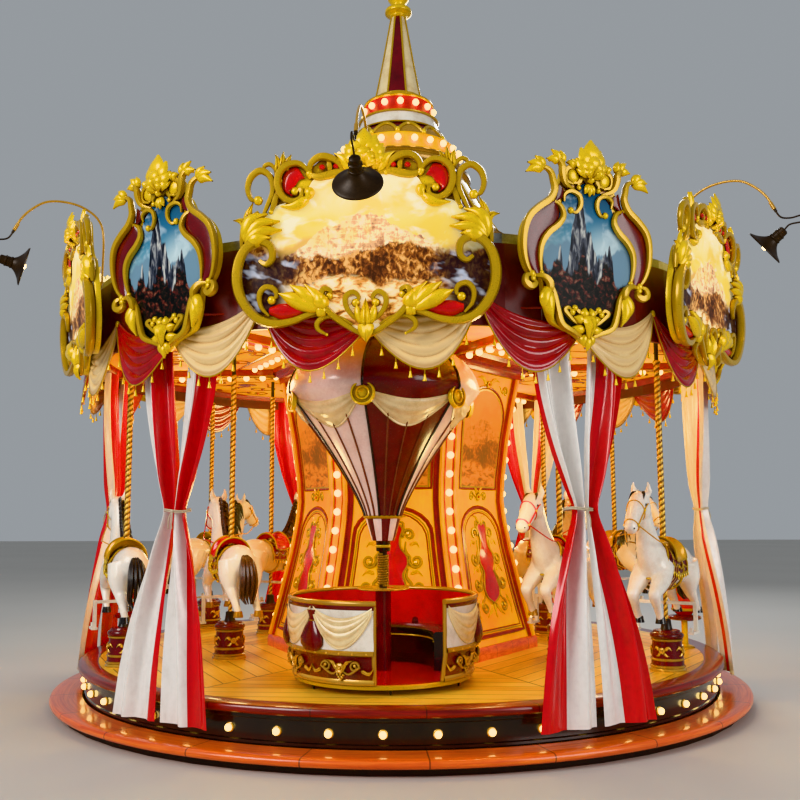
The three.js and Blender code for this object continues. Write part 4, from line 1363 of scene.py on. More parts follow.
@dataclass
class Ceiling:
    """The painted underside with its beams, scrolls and lamp rows."""

    z: float = 2.75
    outer: float = 2.598
    thick: float = 0.03
    beam: tuple[float, float] = (1.13, 2.59)

    def _beam(self) -> Shell:
        """A radial beam with its lamp row, built at the front."""
        s = Shell()
        w, d = 0.075, 0.05
        outline = [(-w, 0), (-w, d), (-w + 0.012, d + 0.006), (w - 0.012, d + 0.006), (w, d), (w, 0)]
        rows = [[Vector((x, -r, self.z - h)) for x, h in outline] for r in np.linspace(*self.beam, 8)]
        s.grid(rows, 2)
        for side in (-1, 1):
            s.tube([(side * (w - 0.016), -r, self.z - d - 0.006) for r in np.linspace(*self.beam, 6)], 0.007,
                   6, 1)
        return s

    def _painting(self) -> Shell:
        """The flat scrollwork of one sixth, under the plate."""
        flat = Shell()
        half = Shell()
        half.merge(curl((0.3, 0, 1.95), 250, 1.3, (0.16, 0.03), 0.012, 0, 0.3,
                        lead=[(0.04, 0, 1.62), (0.14, 0, 1.7)]))
        half.merge(curl((0.55, 0, 2.2), 180, -1.3, (0.13, 0.03), 0.012, 0, 0.3,
                        lead=[(0.3, 0, 2.35), (0.38, 0, 2.3)]))
        half.merge(curl((0.22, 0, 1.4), 90, -1.2, (0.11, 0.03), 0.01, 0, 0.3, lead=[(0.05, 0, 1.55)]))
        for pts in [[(0.05, 0, 2.3), (0.16, 0, 2.38), (0.24, 0, 2.3)],
                    [(0.5, 0, 1.85), (0.62, 0, 1.9), (0.7, 0, 2.0)],
                    [(0.1, 0, 1.9), (0.08, 0, 2.05), (0.16, 0, 2.12)],
                    [(0.34, 0, 1.45), (0.42, 0, 1.55), (0.44, 0, 1.7)]]:
            half.merge(leaf(smooth_line(pts, 4), 0.035, 0.005, 4))
        flat.merge(mirrored(half))
        flat.merge(rosette((0, 0, 1.85), 0.09, 0.006, 8))
        out = Shell()
        out.verts = [Vector((v.x, -v.z, self.z - 0.003 + v.y)) for v in flat.verts]
        out.faces, out.paint = [f[::-1] for f in flat.faces], [3] * len(flat.faces)
        return out

    def build(self, paints: Paints) -> None:
        """Makes the plate, the beams, the scrolls and the lamps."""
        plate = [(1.0, self.z), (self.outer, self.z), (self.outer, self.z + self.thick),
                 (0.2, self.z + self.thick), (0.2, self.z)]
        s = Shell().lathe(plate, 144, 0, round_profile=True)
        s.lathe([(2.598, self.z - 0.001), (2.598, self.z - 0.05), (2.52, self.z - 0.05),
                 (2.5, self.z - 0.001)], 144, 2)
        beam, art = self._beam(), self._painting()
        for k in range(SECTORS):
            s.merge(beam, facing(k * SECTOR + HALF_SECTOR)).merge(art, facing(k * SECTOR))
            for r in (1.3, 2.44):
                line = [polar(r / math.cos(math.radians(a)), a, self.z - 0.006)
                        for a in np.linspace(-26, 26, 9)]
                s.merge(Shell().tube(line, 0.012, 6, 2, flat=0.6, side=(0, 0, -1)), facing(k * SECTOR))
        mats = [paints.ceiling, paints.gold, paints.beam, paints.ceiling_scroll]
        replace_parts(s.build("ceiling_panels", mats, 35, slot="orange_panel"), "ceiling")
        lamps = Shell()
        for k in range(SECTORS):
            rows = [polar(r, 30, self.z - 0.07) for r in np.arange(1.24, 2.5, 0.148)]
            lamps.merge(bulb_row(rows, 0.027, hanging=True), facing(k * SECTOR))
            places = [polar(1.19 / math.cos(math.radians(a)), a, self.z - 0.02)
                      for a in np.linspace(-22, 22, 7)]
            lamps.merge(bulb_row(places, 0.024, hanging=True), facing(k * SECTOR))
        lamps.build("ceiling_lamps", [paints.bulb, paints.brass], 40, slot="orange_panel")


def mm(*pairs: tuple[float, float]) -> list[Vector]:
    """Points of a drawing in the XZ plane, from millimetres."""
    return [Vector((x / 1000, 0, z / 1000)) for x, z in pairs]


def vine(points: Sequence[Point], thick: float, eyes: tuple[float, float] = (0.0, 1.6), lift: float = 0.0,
         flat: float = 1.25) -> Shell:
    """A swelling grooved stem through a few points, with round eyes at its ends.

    Args:
        points: the points that it passes through.
        thick: its greatest radius.
        eyes: the radius of the ball at each end, as a share of thick.
        lift: how far its middle stands proud of its ends.
        flat: its depth as a share of its width.

    Returns:
        The shell.
    """
    line = smooth_line(points, 4)
    n = len(line) - 1
    line = [p + Vector((0, -lift * math.sin(math.pi * i / n), 0)) for i, p in enumerate(line)]
    radii = [thick * k for k in (0.4, 0.68, 0.84, 0.94, 0.88, 0.7, 0.42)]
    s = Shell().tube(line, radii, 8, flat=flat, groove=0.22)
    for p, size in zip((line[0], line[-1]), eyes):
        if size:
            s.ball(p, thick * size * 0.86, 8)
    return s


def spike(points: Sequence[Point], width: float, lift: float) -> Shell:
    """A plain pointed leaf through a few points."""
    return leaf(smooth_line(points, 5), width, lift, 0, 0, tip=0.1)


def plume(fingers: Sequence[Sequence[Point]], width: float, lift: float) -> Shell:
    """A fleshy leaf of plump blades that part from one root.

    Args:
        fingers: the points of each blade, from its root to its tip.
        width: half of a blade's width.
        lift: how far they stand proud.

    Returns:
        The shell.
    """
    s = Shell()
    for k, points in enumerate(fingers):
        line = smooth_line(points, 4)
        bend = [p + Vector((0, -lift * (0.35 * math.sin(math.pi * i / len(line)) + 0.08 * k), 0))
                for i, p in enumerate(line)]
        s.merge(leaf(bend, width * 1.36, lift, 0, 0, tip=0.1, swell=0.9, vein=0.0))
    return s


def blade(left: Sequence[Point], right: Sequence[Point], crown: float, paint: int,
          out: float = 0.0) -> Shell:
    """A swelling field between two edges that run the same way."""
    a, b = smooth_line(left, 4), smooth_line(right, 4)
    rows = []
    for i, p in enumerate(a):
        q = b[round(i * (len(b) - 1) / (len(a) - 1))]
        rows.append([p.lerp(q, u) - Vector((0, out + crown * 4 * u * (1 - u), 0))
                     for u in (0, 0.2, 0.4, 0.6, 0.8, 1)])
    return Shell().grid(rows, paint)


@dataclass
class Canopy:
    """The moulded swags round the fascia, with their cords and tassels."""

    count: int = 24
    top: float = 2.66
    reach: float = 2.634
    drop: float = 0.31
    bulge: float = 0.034
    folds: float = 4.6
    rise: float = 0.17

    def _point(self, u: float, v: float) -> Vector:
        """A point of one swag, built at the front, u across from its high end and v down."""
        hang = math.sin(math.pi * u) ** 0.8
        end = self.top + self.rise * (1 - u)
        high = end - 0.07 * math.sin(math.pi * u) * (1.5 - u)
        low = end - 0.035 - (self.drop - 0.035 + self.rise * (1 - u)) * hang
        z = high + (low - high) * v
        out = self.bulge * hang * (0.3 + 0.7 * v)
        ridge = abs(math.sin(math.pi * (self.folds * v ** 0.85 + 0.16 * math.sin(math.pi * u)))) - 0.4
        gather = 0.012 * (1 - hang) * abs(math.sin(9 * v))
        angle = (u - 0.5) * 360 / self.count * 0.995
        return polar(self.reach + out + 0.021 * ridge * hang + gather, angle, z)

    def _swag(self, paint: int) -> Shell:
        """One swag with a rolled lower hem, a cord and tassels on threads."""
        cols, rows_n = 16, 26
        rows = [[self._point(c / cols, r / rows_n) for c in range(cols + 1)] for r in range(rows_n + 1)]
        back = [[Vector((p.x, p.y + 0.016, p.z)) for p in row] for row in rows[::-2]]
        s = Shell().grid(rows + back, paint)
        hem = [self._point(c / cols, 1.0) + Vector((0, 0.004, -0.004)) for c in range(cols + 1)]
        s.tube(hem, 0.0085, 6, paint)
        s.tube([p + Vector((0, -0.006, -0.01)) for p in hem], 0.0045, 5, 2)
        for k in range(1, 8):
            p = hem[round(cols * k / 8)] + Vector((0, -0.006, -0.012))
            s.tube([p, p - Vector((0, 0, 0.032))], 0.0024, 4, 2)
            bell = Shell().lathe([(0.0, -0.028), (0.006, -0.032), (0.0055, -0.04), (0.0125, -0.07),
                                  (0.0, -0.068)], 8, 2)
            s.merge(bell, Matrix.Translation(p))
        return s

    def build(self, paints: Paints) -> None:
        """Makes all the swags in one piece and paints the fascia."""
        repaint("fascia", paints.fascia)
        kinds = [Shell().merge(self._swag(0), MIRROR), self._swag(1)]
        s = Shell()
        for i in range(self.count):
            s.merge(kinds[i % 2], facing((i + 0.5) * 360 / self.count))
            high = self.top + self.rise * (i % 2)
            s.merge(Shell().ball((0, -self.reach - 0.006, high - 0.02), (0.022, 0.016, 0.026), 8, 2),
                    facing(i * 360 / self.count))
        piece = s.build("swags", [paints.swag_cream, paints.swag_red, paints.gold], 60,
                        slot="cream_moulding")
        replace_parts(piece, "valance")


class ShieldForm:
    """A picture shield facing -Y: a gilt plate, a picture up to its frame, and carving over its edge."""

    def __init__(self, outline: Sequence[Point], picture: Sequence[Point]) -> None:
        """Starts with the right halves of the plate's and the picture's outlines, in millimetres."""
        self.s = Shell()
        self.s.slab(self._whole(outline), 0.04, 0, 0.006)
        self.s.merge(Shell().slab(self._whole(picture), 0.012, 2, 0.002, 0.01),
                     Matrix.Translation((0, -0.035, 0)))

    @staticmethod
    def _whole(half: Sequence[Point]) -> list[tuple[float, float]]:
        """A right half's outline with its mirror image, smoothed."""
        line = [(v.x, v.z) for v in smooth_line(mm(*half), 3)]
        return line + [(-x, z) for x, z in reversed(line[1:-1])]

    def carve(self, half: Shell) -> None:
        """Lays a half of the carving on the plate with its mirror image."""
        self.s.merge(mirrored(half), Matrix.Translation((0, -0.052, 0)))

    def middle(self, shell: Shell) -> None:
        """Lays carving that stands on the middle line."""
        self.s.merge(shell, Matrix.Translation((0, -0.056, 0)))


def fan(foot: Point, span: float, radii: tuple[float, float], ribs: int) -> Shell:
    """A shell of ribs that spreads upward from a foot.

    Args:
        foot: where the ribs meet.
        span: the angle that they cover, in degrees.
        radii: the length of the outer ribs and of the middle one.
        ribs: how many there are.

    Returns:
        The shell.
    """
    s = Shell()
    c = Vector(foot)
    for k in range(ribs):
        t = k / (ribs - 1) * 2 - 1
        a = math.radians(90 + t * span / 2)
        length = radii[1] + (radii[0] - radii[1]) * abs(t)
        end = c + Vector((length * math.cos(a), -0.012, length * math.sin(a)))
        mid = c.lerp(end, 0.55) + Vector((0, -0.03, 0))
        width = length * math.radians(span) / ribs * 0.84
        s.merge(leaf(smooth_line([c, mid, end], 5), width, 0.026, 0, 0, tip=0.12, swell=1.5, vein=0.12))
    s.ball(c, (0.024, 0.03, 0.024), 10)
    return s


@dataclass
class Shields:
    """Six wide and six narrow picture shields round the fascia."""

    back: float = 2.696
    middle_z: float = 3.15
    lean: float = 4.0

    @staticmethod
    def _wide() -> ShieldForm:
        """The wide shield."""
        f = ShieldForm(
            [(0, 436), (129, 497), (246, 497), (328, 436), (386, 454), (480, 448), (531, 387), (536, 253),
             (594, 167), (708, 94), (760, -40), (788, -187), (780, -333), (720, -443), (640, -512),
             (515, -536), (351, -490), (246, -478), (152, -525), (82, -586), (0, -622)],
            [(0, 399), (129, 393), (292, 375), (376, 268), (470, 220), (560, 190), (690, 57), (735, -53),
             (762, -187), (756, -333), (702, -432), (597, -476), (456, -480), (300, -450), (199, -486),
             (94, -550), (0, -590)])
        h = Shell()
        # great outer sweep with its volute
        h.merge(vine(mm((649, -140), (608, -165), (570, -128), (578, -59), (641, -26), (714, -55),
                        (763, -128), (784, -230), (772, -336), (723, -433), (649, -504), (550, -531),
                        (445, -516), (357, -480), (269, -453)), 0.035, lift=0.03))
        h.merge(vine(mm((594, -480), (641, -425), (651, -352), (614, -306), (562, -316), (545, -358),
                        (576, -385)), 0.021, lift=0.012))
        # fleshy leaf over the low red field
        h.merge(plume([mm((252, -462), (292, -382), (372, -292)), mm((263, -462), (374, -358), (459, -296)),
                       mm((281, -462), (433, -386), (529, -346)), mm((250, -455), (276, -394), (308, -330))],
                      0.036, 0.042))
        h.merge(blade(mm((250, -452), (330, -432), (420, -412), (510, -402), (590, -428)),
                      mm((250, -460), (340, -462), (430, -488), (520, -500), (590, -470)), 0.02, 3, -0.004))
        # point of the frame with its curls
        h.merge(vine(mm((225, -364), (216, -334), (255, -324), (271, -372), (246, -437), (176, -507),
                        (82, -571), (0, -616)), 0.025, eyes=(1.2, 0), lift=0.016))
        h.merge(vine(mm((0, -541), (75, -495), (119, -431), (119, -372), (75, -346), (42, -377), (61, -411)),
                     0.021, lift=0.016))
        h.merge(vine(mm((82, -543), (152, -502), (240, -490), (295, -524), (292, -568), (240, -600)), 0.019,
                     eyes=(0, 0.6)))
        # side leaf and its spikes
        h.merge(plume([mm((740, -30), (702, 96), (599, 146)), mm((737, -30), (650, 74), (522, 98)),
                       mm((737, -36), (640, 30), (510, 42)), mm((720, -40), (650, -8), (575, -6))], 0.036,
                      0.045))
        h.merge(vine(mm((763, -60), (750, 39), (708, 112), (655, 162)), 0.026, eyes=(0, 0)))
        h.merge(spike(mm((714, 60), (720, 143), (690, 218)), 0.034, 0.03))
        h.merge(spike(mm((715, 40), (757, 104), (812, 112)), 0.03, 0.026))
        # tall open loop with its curl
        h.merge(vine(mm((640, 110), (603, 192), (566, 287), (582, 377), (641, 414), (700, 375), (721, 304),
                        (700, 240), (658, 232)), 0.024, eyes=(0.6, 1.5), lift=0.012))
        h.merge(vine(mm((550, 350), (552, 421), (587, 456), (622, 440), (610, 404)), 0.016))
        h.merge(vine(mm((522, 350), (545, 250), (580, 160)), 0.024, eyes=(0.8, 0.8)))
        h.merge(spike(mm((530, 390), (534, 470), (552, 516)), 0.026, 0.026))
        h.merge(spike(mm((512, 400), (505, 479), (500, 530)), 0.026, 0.03))
        h.merge(spike(mm((500, 410), (474, 470), (452, 510)), 0.026, 0.026))
        # scroll round the red comma
        h.merge(blade(mm((372, 366), (420, 432), (486, 404), (508, 340), (496, 284), (450, 252)),
                      mm((372, 360), (404, 352), (430, 318), (452, 296), (462, 276), (440, 256)), 0.012, 3,
                      -0.002))
        h.merge(vine(mm((428, 280), (391, 287), (391, 240), (445, 216), (503, 247), (534, 316), (524, 394),
                        (474, 443), (410, 453), (360, 421), (337, 372)), 0.026, eyes=(1.3, 0.7), lift=0.02))
        h.merge(plume([mm((340, 250), (420, 196), (520, 190)), mm((360, 300), (340, 262), (368, 214))],
                      0.026, 0.03))
        # ruffled crest with its studs
        h.merge(vine(mm((337, 375), (334, 443), (281, 487), (213, 482), (159, 446), (129, 385)), 0.027,
                     eyes=(0.8, 0.8), lift=0.012))
        h.merge(vine(mm((342, 388), (292, 368), (222, 378), (152, 394), (60, 384)), 0.03, eyes=(0.9, 0),
                     flat=0.9))
        h.merge(vine(mm((226, 470), (214, 430), (216, 390)), 0.022, eyes=(0.8, 0.8)))
        for x, z in ((262, 424), (174, 428)):
            h.ball((x / 1000, -0.012, z / 1000), (0.02, 0.016, 0.018), 6, 3)
        h.merge(plume([mm((84, 390), (120, 460), (186, 508)), mm((70, 400), (90, 473), (124, 536)),
                       mm((60, 400), (66, 490), (84, 566))], 0.028, 0.034))
        f.carve(h)
        m = fan((0, 0, 0.42), 120, (0.15, 0.235), 7)
        m.merge(fan((0, -0.02, 0.41), 110, (0.09, 0.14), 5))
        m.merge(plume([mm((0, -560), (-40, -480), (-58, -418)), mm((0, -560), (40, -480), (58, -418))],
                      0.024, 0.03))
        m.merge(leaf(smooth_line([(0, -0.01, -0.56), (0, -0.03, -0.47), (0, -0.01, -0.38)], 5), 0.036, 0.036,
                     0))
        m.merge(leaf(smooth_line([(0, -0.01, -0.53), (0, -0.02, -0.6), (0, 0, -0.655)], 5), 0.05, 0.034, 0))
        f.middle(m)
        return f

    @staticmethod
    def _narrow() -> ShieldForm:
        """The narrow shield."""
        f = ShieldForm(
            [(0, 473), (57, 505), (120, 500), (186, 470), (212, 387), (258, 326), (296, 259), (382, 202),
             (446, 138), (484, 49), (488, -63), (461, -154), (417, -210), (338, -227), (312, -366),
             (262, -490), (192, -528), (88, -562), (0, -622)],
            [(0, 413), (57, 387), (120, 343), (192, 266), (212, 188), (307, 49), (357, -46), (360, -124),
             (336, -219), (281, -279), (250, -366), (224, -452), (161, -522), (57, -556), (0, -573)])
        h = Shell()
        # outer and inner sweeps with the red crescent between them
        h.merge(blade(mm((262, 262), (316, 240), (388, 190), (444, 120), (468, 20), (468, -80), (440, -170),
                         (400, -214)), mm((262, 258), (232, 224), (226, 160), (264, 90), (330, 20),
                                          (368, -80), (366, -160), (356, -212)), 0.008, 1, 0.006))
        h.merge(vine(mm((409, 441), (350, 461), (298, 436), (280, 382), (270, 326), (305, 259), (382, 202),
                        (450, 136), (482, 49), (484, -63), (459, -154), (416, -219)), 0.026, eyes=(0.5, 1.2),
                     lift=0.022))
        h.merge(vine(mm((278, 262), (219, 234), (197, 172), (234, 110), (305, 51), (352, -20), (362, -111),
                        (346, -206)), 0.024, eyes=(0.9, 1.0), lift=0.018))
        h.merge(vine(mm((416, -219), (461, -234), (468, -275), (430, -298), (395, -275), (412, -248)), 0.026,
                     eyes=(1.0, 1.2), lift=0.016))
        # horns over the shoulder
        h.merge(blade(mm((236, 372), (250, 317), (258, 262)), mm((190, 335), (196, 292), (240, 258)), 0.006,
                      1, 0.004))
        h.merge(vine(mm((298, 510), (255, 531), (217, 492), (211, 437), (184, 378), (110, 345)), 0.024,
                     eyes=(0.5, 0.6), lift=0.018))
        h.merge(plume([mm((346, 440), (410, 446), (476, 410)), mm((346, 446), (404, 470), (466, 470)),
                       mm((340, 450), (376, 490), (412, 518))], 0.024, 0.026))
        h.merge(plume([mm((236, 500), (270, 520), (326, 516)), mm((230, 500), (250, 546), (292, 578)),
                       mm((222, 496), (212, 540), (226, 580))], 0.022, 0.026))
        # small curl on the picture and the round boss
        h.merge(vine(mm((182, 266), (184, 311), (136, 335), (76, 314), (63, 255), (96, 206), (134, 214)),
                     0.017, lift=0.01))
        h.merge(vine(mm((120, 385), (168, 400), (182, 440), (164, 480), (120, 494), (76, 480), (58, 440),
                        (72, 404), (116, 392)), 0.02, eyes=(0, 0.6)))
        h.ball((0.12, 0.0, 0.44), (0.048, 0.02, 0.048), 16, 0)
        h.merge(plume([mm((120, 480), (146, 512), (176, 514)), mm((104, 484), (114, 520), (136, 540)),
                       mm((60, 470), (48, 500), (58, 530))], 0.02, 0.026))
        h.merge(vine(mm((0, 384), (22, 424), (56, 432), (78, 402), (76, 366)), 0.016, eyes=(0, 1.4)))
        # lower scroll, leg and inner band
        h.merge(vine(mm((400, -226), (338, -226), (294, -262), (292, -314), (326, -352)), 0.026,
                     eyes=(0.8, 1.2), lift=0.018))
        h.merge(plume([mm((285, -280), (324, -366), (312, -446)), mm((285, -300), (296, -400), (262, -494))],
                      0.032, 0.036))
        h.merge(vine(mm((296, -240), (253, -323), (230, -422), (192, -513), (88, -558), (0, -600)), 0.023,
                     eyes=(0.5, 0), lift=0.014))
        # shell at the foot
        h.merge(vine(mm((50, -510), (99, -482), (142, -446), (168, -418), (138, -402), (112, -430)), 0.018))
        h.merge(vine(mm((16, -478), (40, -440), (72, -416), (92, -402)), 0.017))
        h.merge(plume([mm((20, -500), (60, -470), (104, -458)), mm((10, -530), (66, -534), (120, -526)),
                       mm((6, -480), (26, -430), (20, -396))], 0.024, 0.03))
        f.carve(h)
        m = fan((0, 0, 0.43), 130, (0.12, 0.25), 7)
        m.merge(fan((0, -0.02, 0.42), 100, (0.09, 0.17), 5))
        m.merge(plume([mm((0, 400), (-20, 360), (-36, 330)), mm((0, 400), (20, 360), (36, 330)),
                       mm((0, 400), (1, 350), (0, 316))], 0.017, 0.024))
        m.merge(leaf(smooth_line([(0, -0.01, -0.44), (0, -0.04, -0.52), (0, -0.01, -0.62)], 6), 0.05, 0.04,
                     0))
        m.merge(plume([mm((0, -560), (-30, -600), (-26, -640)), mm((0, -560), (30, -600), (26, -640)),
                       mm((0, -570), (1, -620), (0, -668))], 0.022, 0.026))
        f.middle(m)
        return f

    def build(self, paints: Paints) -> None:
        """Makes both forms and sets six of each, all with shared shapes."""
        forms = {"wide": (self._wide(), paints.picture_warm),
                 "narrow": (self._narrow(), paints.picture_blue)}
        stem = Shell().block((-0.1, 0.0, -0.14), (0.1, 0.066, -0.02), 0)
        for start, (kind, (form, picture)) in enumerate(forms.items()):
            form.s.merge(stem)
            first = None
            for i in range(SECTORS):
                angle = i * SECTOR + start * HALF_SECTOR
                place = facing(angle) @ Matrix.Translation((0, -self.back, self.middle_z))
                name = f"{kind}_shield_{i + 1}"
                if first is None:
                    finishes = [paints.gold, paints.maroon, picture, paints.crimson]
                    piece = first = form.s.build(name, finishes, 48, slot="gold_leaf")
                else:
                    piece = twin(first, name, "turntable")
                piece.matrix_world = place @ Matrix.Rotation(math.radians(self.lean), 4, "X")
                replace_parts(piece, f"shield_{kind}_{i + 1}")


@dataclass
class Lamps:
    """The lamps on curved arms in front of the wide shields, each turned to its picture."""

    at: float = 3.14
    middle: float = 3.33
    foot: float = 2.575
    foot_z: float = 3.226
    down: tuple[float, ...] = (32, 38, 30, 30, 30, 14)
    tube: tuple[tuple[float, float], ...] = (
        (2.575, 3.23), (2.575, 3.62), (2.62, 3.765), (2.735, 3.846), (2.87, 3.872), (3.0, 3.856),
        (3.1, 3.79), (3.175, 3.705), (3.222, 3.61))
    flex: tuple[tuple[float, float], ...] = ((3.218, 3.62), (3.262, 3.54), (3.33, 3.52), (3.405, 3.525),
                                             (3.425, 3.482))

    @staticmethod
    def _in_plane(places: Sequence[tuple[float, float]], steps: int) -> list[Vector]:
        """A smooth line through radii and heights in the plane of the front."""
        return smooth_line([(0, -r, z) for r, z in places], steps)

    @staticmethod
    def _head() -> Shell:
        """The flared shade with its socket and lamp, its mouth on the XY plane, open downward."""
        s = Shell()
        back = smooth_line([(0.148, 0, 0.004), (0.14, 0, 0.012), (0.102, 0, 0.029), (0.062, 0, 0.059),
                            (0.04, 0, 0.088)], 4)
        s.lathe([(0.141, 0.0), (0.1485, 0.0), *[(p.x, p.z) for p in back]], 48, 0)
        s.lathe([(0.04, 0.088), (0.044, 0.09), (0.044, 0.1), (0.039, 0.104), (0.039, 0.13), (0.042, 0.133),
                 (0.042, 0.14), (0.035, 0.146), (0.034, 0.176), (0.022, 0.186), (0.0, 0.186)], 32, 0)
        front = smooth_line([(0.141, 0, 0.0), (0.097, 0, 0.021), (0.056, 0, 0.05), (0.03, 0, 0.079),
                             (0.0, 0, 0.08)], 4)
        s.lathe([(p.x, p.z) for p in front], 48, 1)
        s.lathe([(0.02, 0.079), (0.022, 0.05), (0.0, 0.05)], 20, 0)
        return s.ball((0, 0, 0.028), (0.031, 0.031, 0.036), 16, 2)

    def build(self, paints: Paints) -> None:
        """Makes the six lamps."""
        head = self._head()
        for i, tilt in enumerate(self.down):
            down = math.radians(tilt)
            loop = [(self.at + t * math.cos(down), self.middle + t * math.sin(down)) for t in (0.235, 0.183)]
            s = Shell().tube(self._in_plane(self.tube, 7), 0.0088, 12, 3, side=(1, 0, 0))
            s.tube(self._in_plane([*self.flex, *loop], 8), 0.0062, 10, 0, side=(1, 0, 0))
            s.tube([(0, -3.2, 3.655), (0, -3.226, 3.602)], 0.0135, 14, 3, side=(1, 0, 0))
            s.tube([(0, -3.224, 3.606), (0, -3.236, 3.582)], 0.01, 12, 0, side=(1, 0, 0))
            flange = Shell().lathe([(0.0, 0.0), (0.04, 0.0), (0.04, 0.007), (0.018, 0.013), (0.016, 0.04),
                                    (0.009, 0.045)], 20, 3)
            s.merge(flange, Matrix.Translation((0, -self.foot, self.foot_z)))
            s.merge(head, Matrix.Translation((0, -self.at, self.middle))
                    @ Matrix.Rotation(math.pi / 2 - down, 4, "X"))
            s.verts = [facing(i * SECTOR) @ v for v in s.verts]
            mats = [paints.shade, paints.shade_inside, paints.lamp_glass, paints.brass]
            piece = s.build(f"neck_lamp_{i + 1}", mats, 40, slot="black_enamel")
            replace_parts(piece, f"gooseneck_lamp_{i + 1}")


@dataclass
class Crown:
    """The gored dome, the two lamp rings, the cone spire and the finial."""

    scallops: int = 12
    lamps: tuple[int, int] = (24, 14)

    @staticmethod
    def _gored(profile: Sequence[tuple[float, float]], count: int, paints: tuple[int, int], swell: float,
               rib: float, rib_paint: int) -> Shell:
        """A turned form in gores of two colours with ribs between them.

        Args:
            profile: its radius and height.
            count: how many gores it has.
            paints: the two paint numbers in turn.
            swell: how far each gore's middle stands proud, as a share of its radius.
            rib: the radius of the ribs.
            rib_paint: the ribs' paint number.

        Returns:
            The shell.
        """
        s = Shell()
        wide = 360 / count
        for g in range(count):
            rows = [[polar(r * (1 + swell * math.sin(math.pi * u)), (g + u) * wide - wide / 2, z)
                     for r, z in profile] for u in (k / 8 for k in range(9))]
            s.grid(rows, paints[g % 2])
            edge = (g + 0.5) * wide
            s.tube([polar(r + rib * 0.3, edge, z) for r, z in profile], rib, 6, rib_paint,
                   side=polar(1, edge))
        return s

    def _dome(self) -> Shell:
        """The gored dome on its moulded foot."""
        curve = smooth_line([(1.0, 0, 3.84), (0.95, 0, 3.86), (0.86, 0, 3.98), (0.76, 0, 4.15),
                             (0.665, 0, 4.32), (0.61, 0, 4.42)], 4)
        s = self._gored([(p.x, p.z) for p in curve], 16, (4, 1), 0.012, 0.014, 2)
        foot = [(0.9, 3.801), (1.005, 3.801), (1.012, 3.82), (1.0, 3.845), (0.955, 3.86), (0.9, 3.861)]
        s.lathe(foot, 64, 3, round_profile=True)
        return s.lathe([(0.96, 3.86), (0.93, 3.88), (0.945, 3.89), (0.93, 3.9)], 64, 2)

    @staticmethod
    def _lower_ring() -> Shell:
        """The moulding that carries the lower ring of lamps."""
        s = Shell()
        for paint, profile in (
            (3, [(0.0, 4.421), (0.63, 4.421), (0.652, 4.44), (0.65, 4.465), (0.62, 4.48), (0.625, 4.5),
                 (0.6, 4.52), (0.56, 4.535), (0.55, 4.56)]),
            (3, [(0.55, 4.56), (0.562, 4.572), (0.568, 4.585), (0.556, 4.6)]),
            (7, [(0.556, 4.6), (0.548, 4.618), (0.536, 4.65), (0.528, 4.7), (0.524, 4.73), (0.512, 4.745),
                 (0.45, 4.764), (0.0, 4.764)])):
            s.lathe(profile, 72, paint)
        return s

    def _upper_ring(self) -> Shell:
        """The scalloped collar and the moulding that carries the upper ring of lamps."""
        s = Shell().lathe([(0.0, 4.766), (0.436, 4.766), (0.432, 4.8), (0.41, 4.85), (0.378, 4.878),
                           (0.36, 4.89)], 72, 4)
        wide, steps = 360 / self.scallops, 12
        for i in range(self.scallops):
            arch, foot = [], []
            for k in range(steps + 1):
                swell, angle = math.sin(math.pi * k / steps), 3 + (i + k / steps) * wide
                arch.append(polar(0.45 - 0.05 * swell, angle, 4.772 + 0.096 * swell ** 0.7))
                foot.append(polar(0.452, angle, 4.77))
            s.tube(arch, 0.016, 8, 2)
            s.grid([foot, [a.lerp(b, 0.5) + b.normalized() * 0.006 for a, b in zip(foot, arch)], arch], 3)
            s.ball(polar(0.455, 3 + i * wide, 4.782), (0.024, 0.024, 0.03), 10, 2)
        for paint, profile in (
            (2, [(0.36, 4.885), (0.392, 4.886), (0.396, 4.893), (0.39, 4.9), (0.382, 4.902)]),
            (6, [(0.382, 4.902), (0.368, 4.94), (0.356, 4.98), (0.35, 5.001)]),
            (2, [(0.35, 4.999), (0.366, 5.003), (0.37, 5.013), (0.345, 5.025), (0.322, 5.035)]),
            (5, [(0.322, 5.035), (0.308, 5.055), (0.302, 5.15), (0.31, 5.163)]),
            (2, [(0.31, 5.163), (0.322, 5.173), (0.316, 5.188), (0.27, 5.211), (0.24, 5.2255),
                 (0.0, 5.2255)])):
            s.lathe(profile, 72, paint)
        return s

    def _lamps(self) -> Shell:
        """Both rings of lamps."""
        low, high = self.lamps
        lower = [polar(0.556, i * 360 / low + 3.5, 4.675) for i in range(low)]
        upper = [polar(0.32, i * 360 / high + 7.0, 5.108) for i in range(high)]
        return bulb_row(lower, 0.03).merge(bulb_row(upper, 0.03))

    def _spire(self) -> Shell:
        """The gored cone with its foot bead."""
        cone = [(0.222 + (0.066 - 0.222) * t ** 0.92, 5.227 + 0.822 * t) for t in np.linspace(0, 1, 10)]
        s = self._gored(cone, 8, (4, 1), 0.0, 0.009, 2)
        return s.lathe([(0.0, 5.2265), (0.226, 5.2265), (0.232, 5.236), (0.222, 5.25)], 48, 2)

    @staticmethod
    def _finial() -> Shell:
        """The turned knob on top."""
        knob = smooth_line([
            (0.066, 0, 6.05), (0.078, 0, 6.06), (0.078, 0, 6.075), (0.118, 0, 6.09), (0.124, 0, 6.11),
            (0.116, 0, 6.135), (0.07, 0, 6.15), (0.056, 0, 6.175), (0.066, 0, 6.195), (0.096, 0, 6.235),
            (0.1, 0, 6.285), (0.075, 0, 6.335), (0.035, 0, 6.36), (0.018, 0, 6.374), (0.0, 0, 6.38)], 3)
        return Shell().lathe([(p.x, p.z) for p in knob], 48, 2)

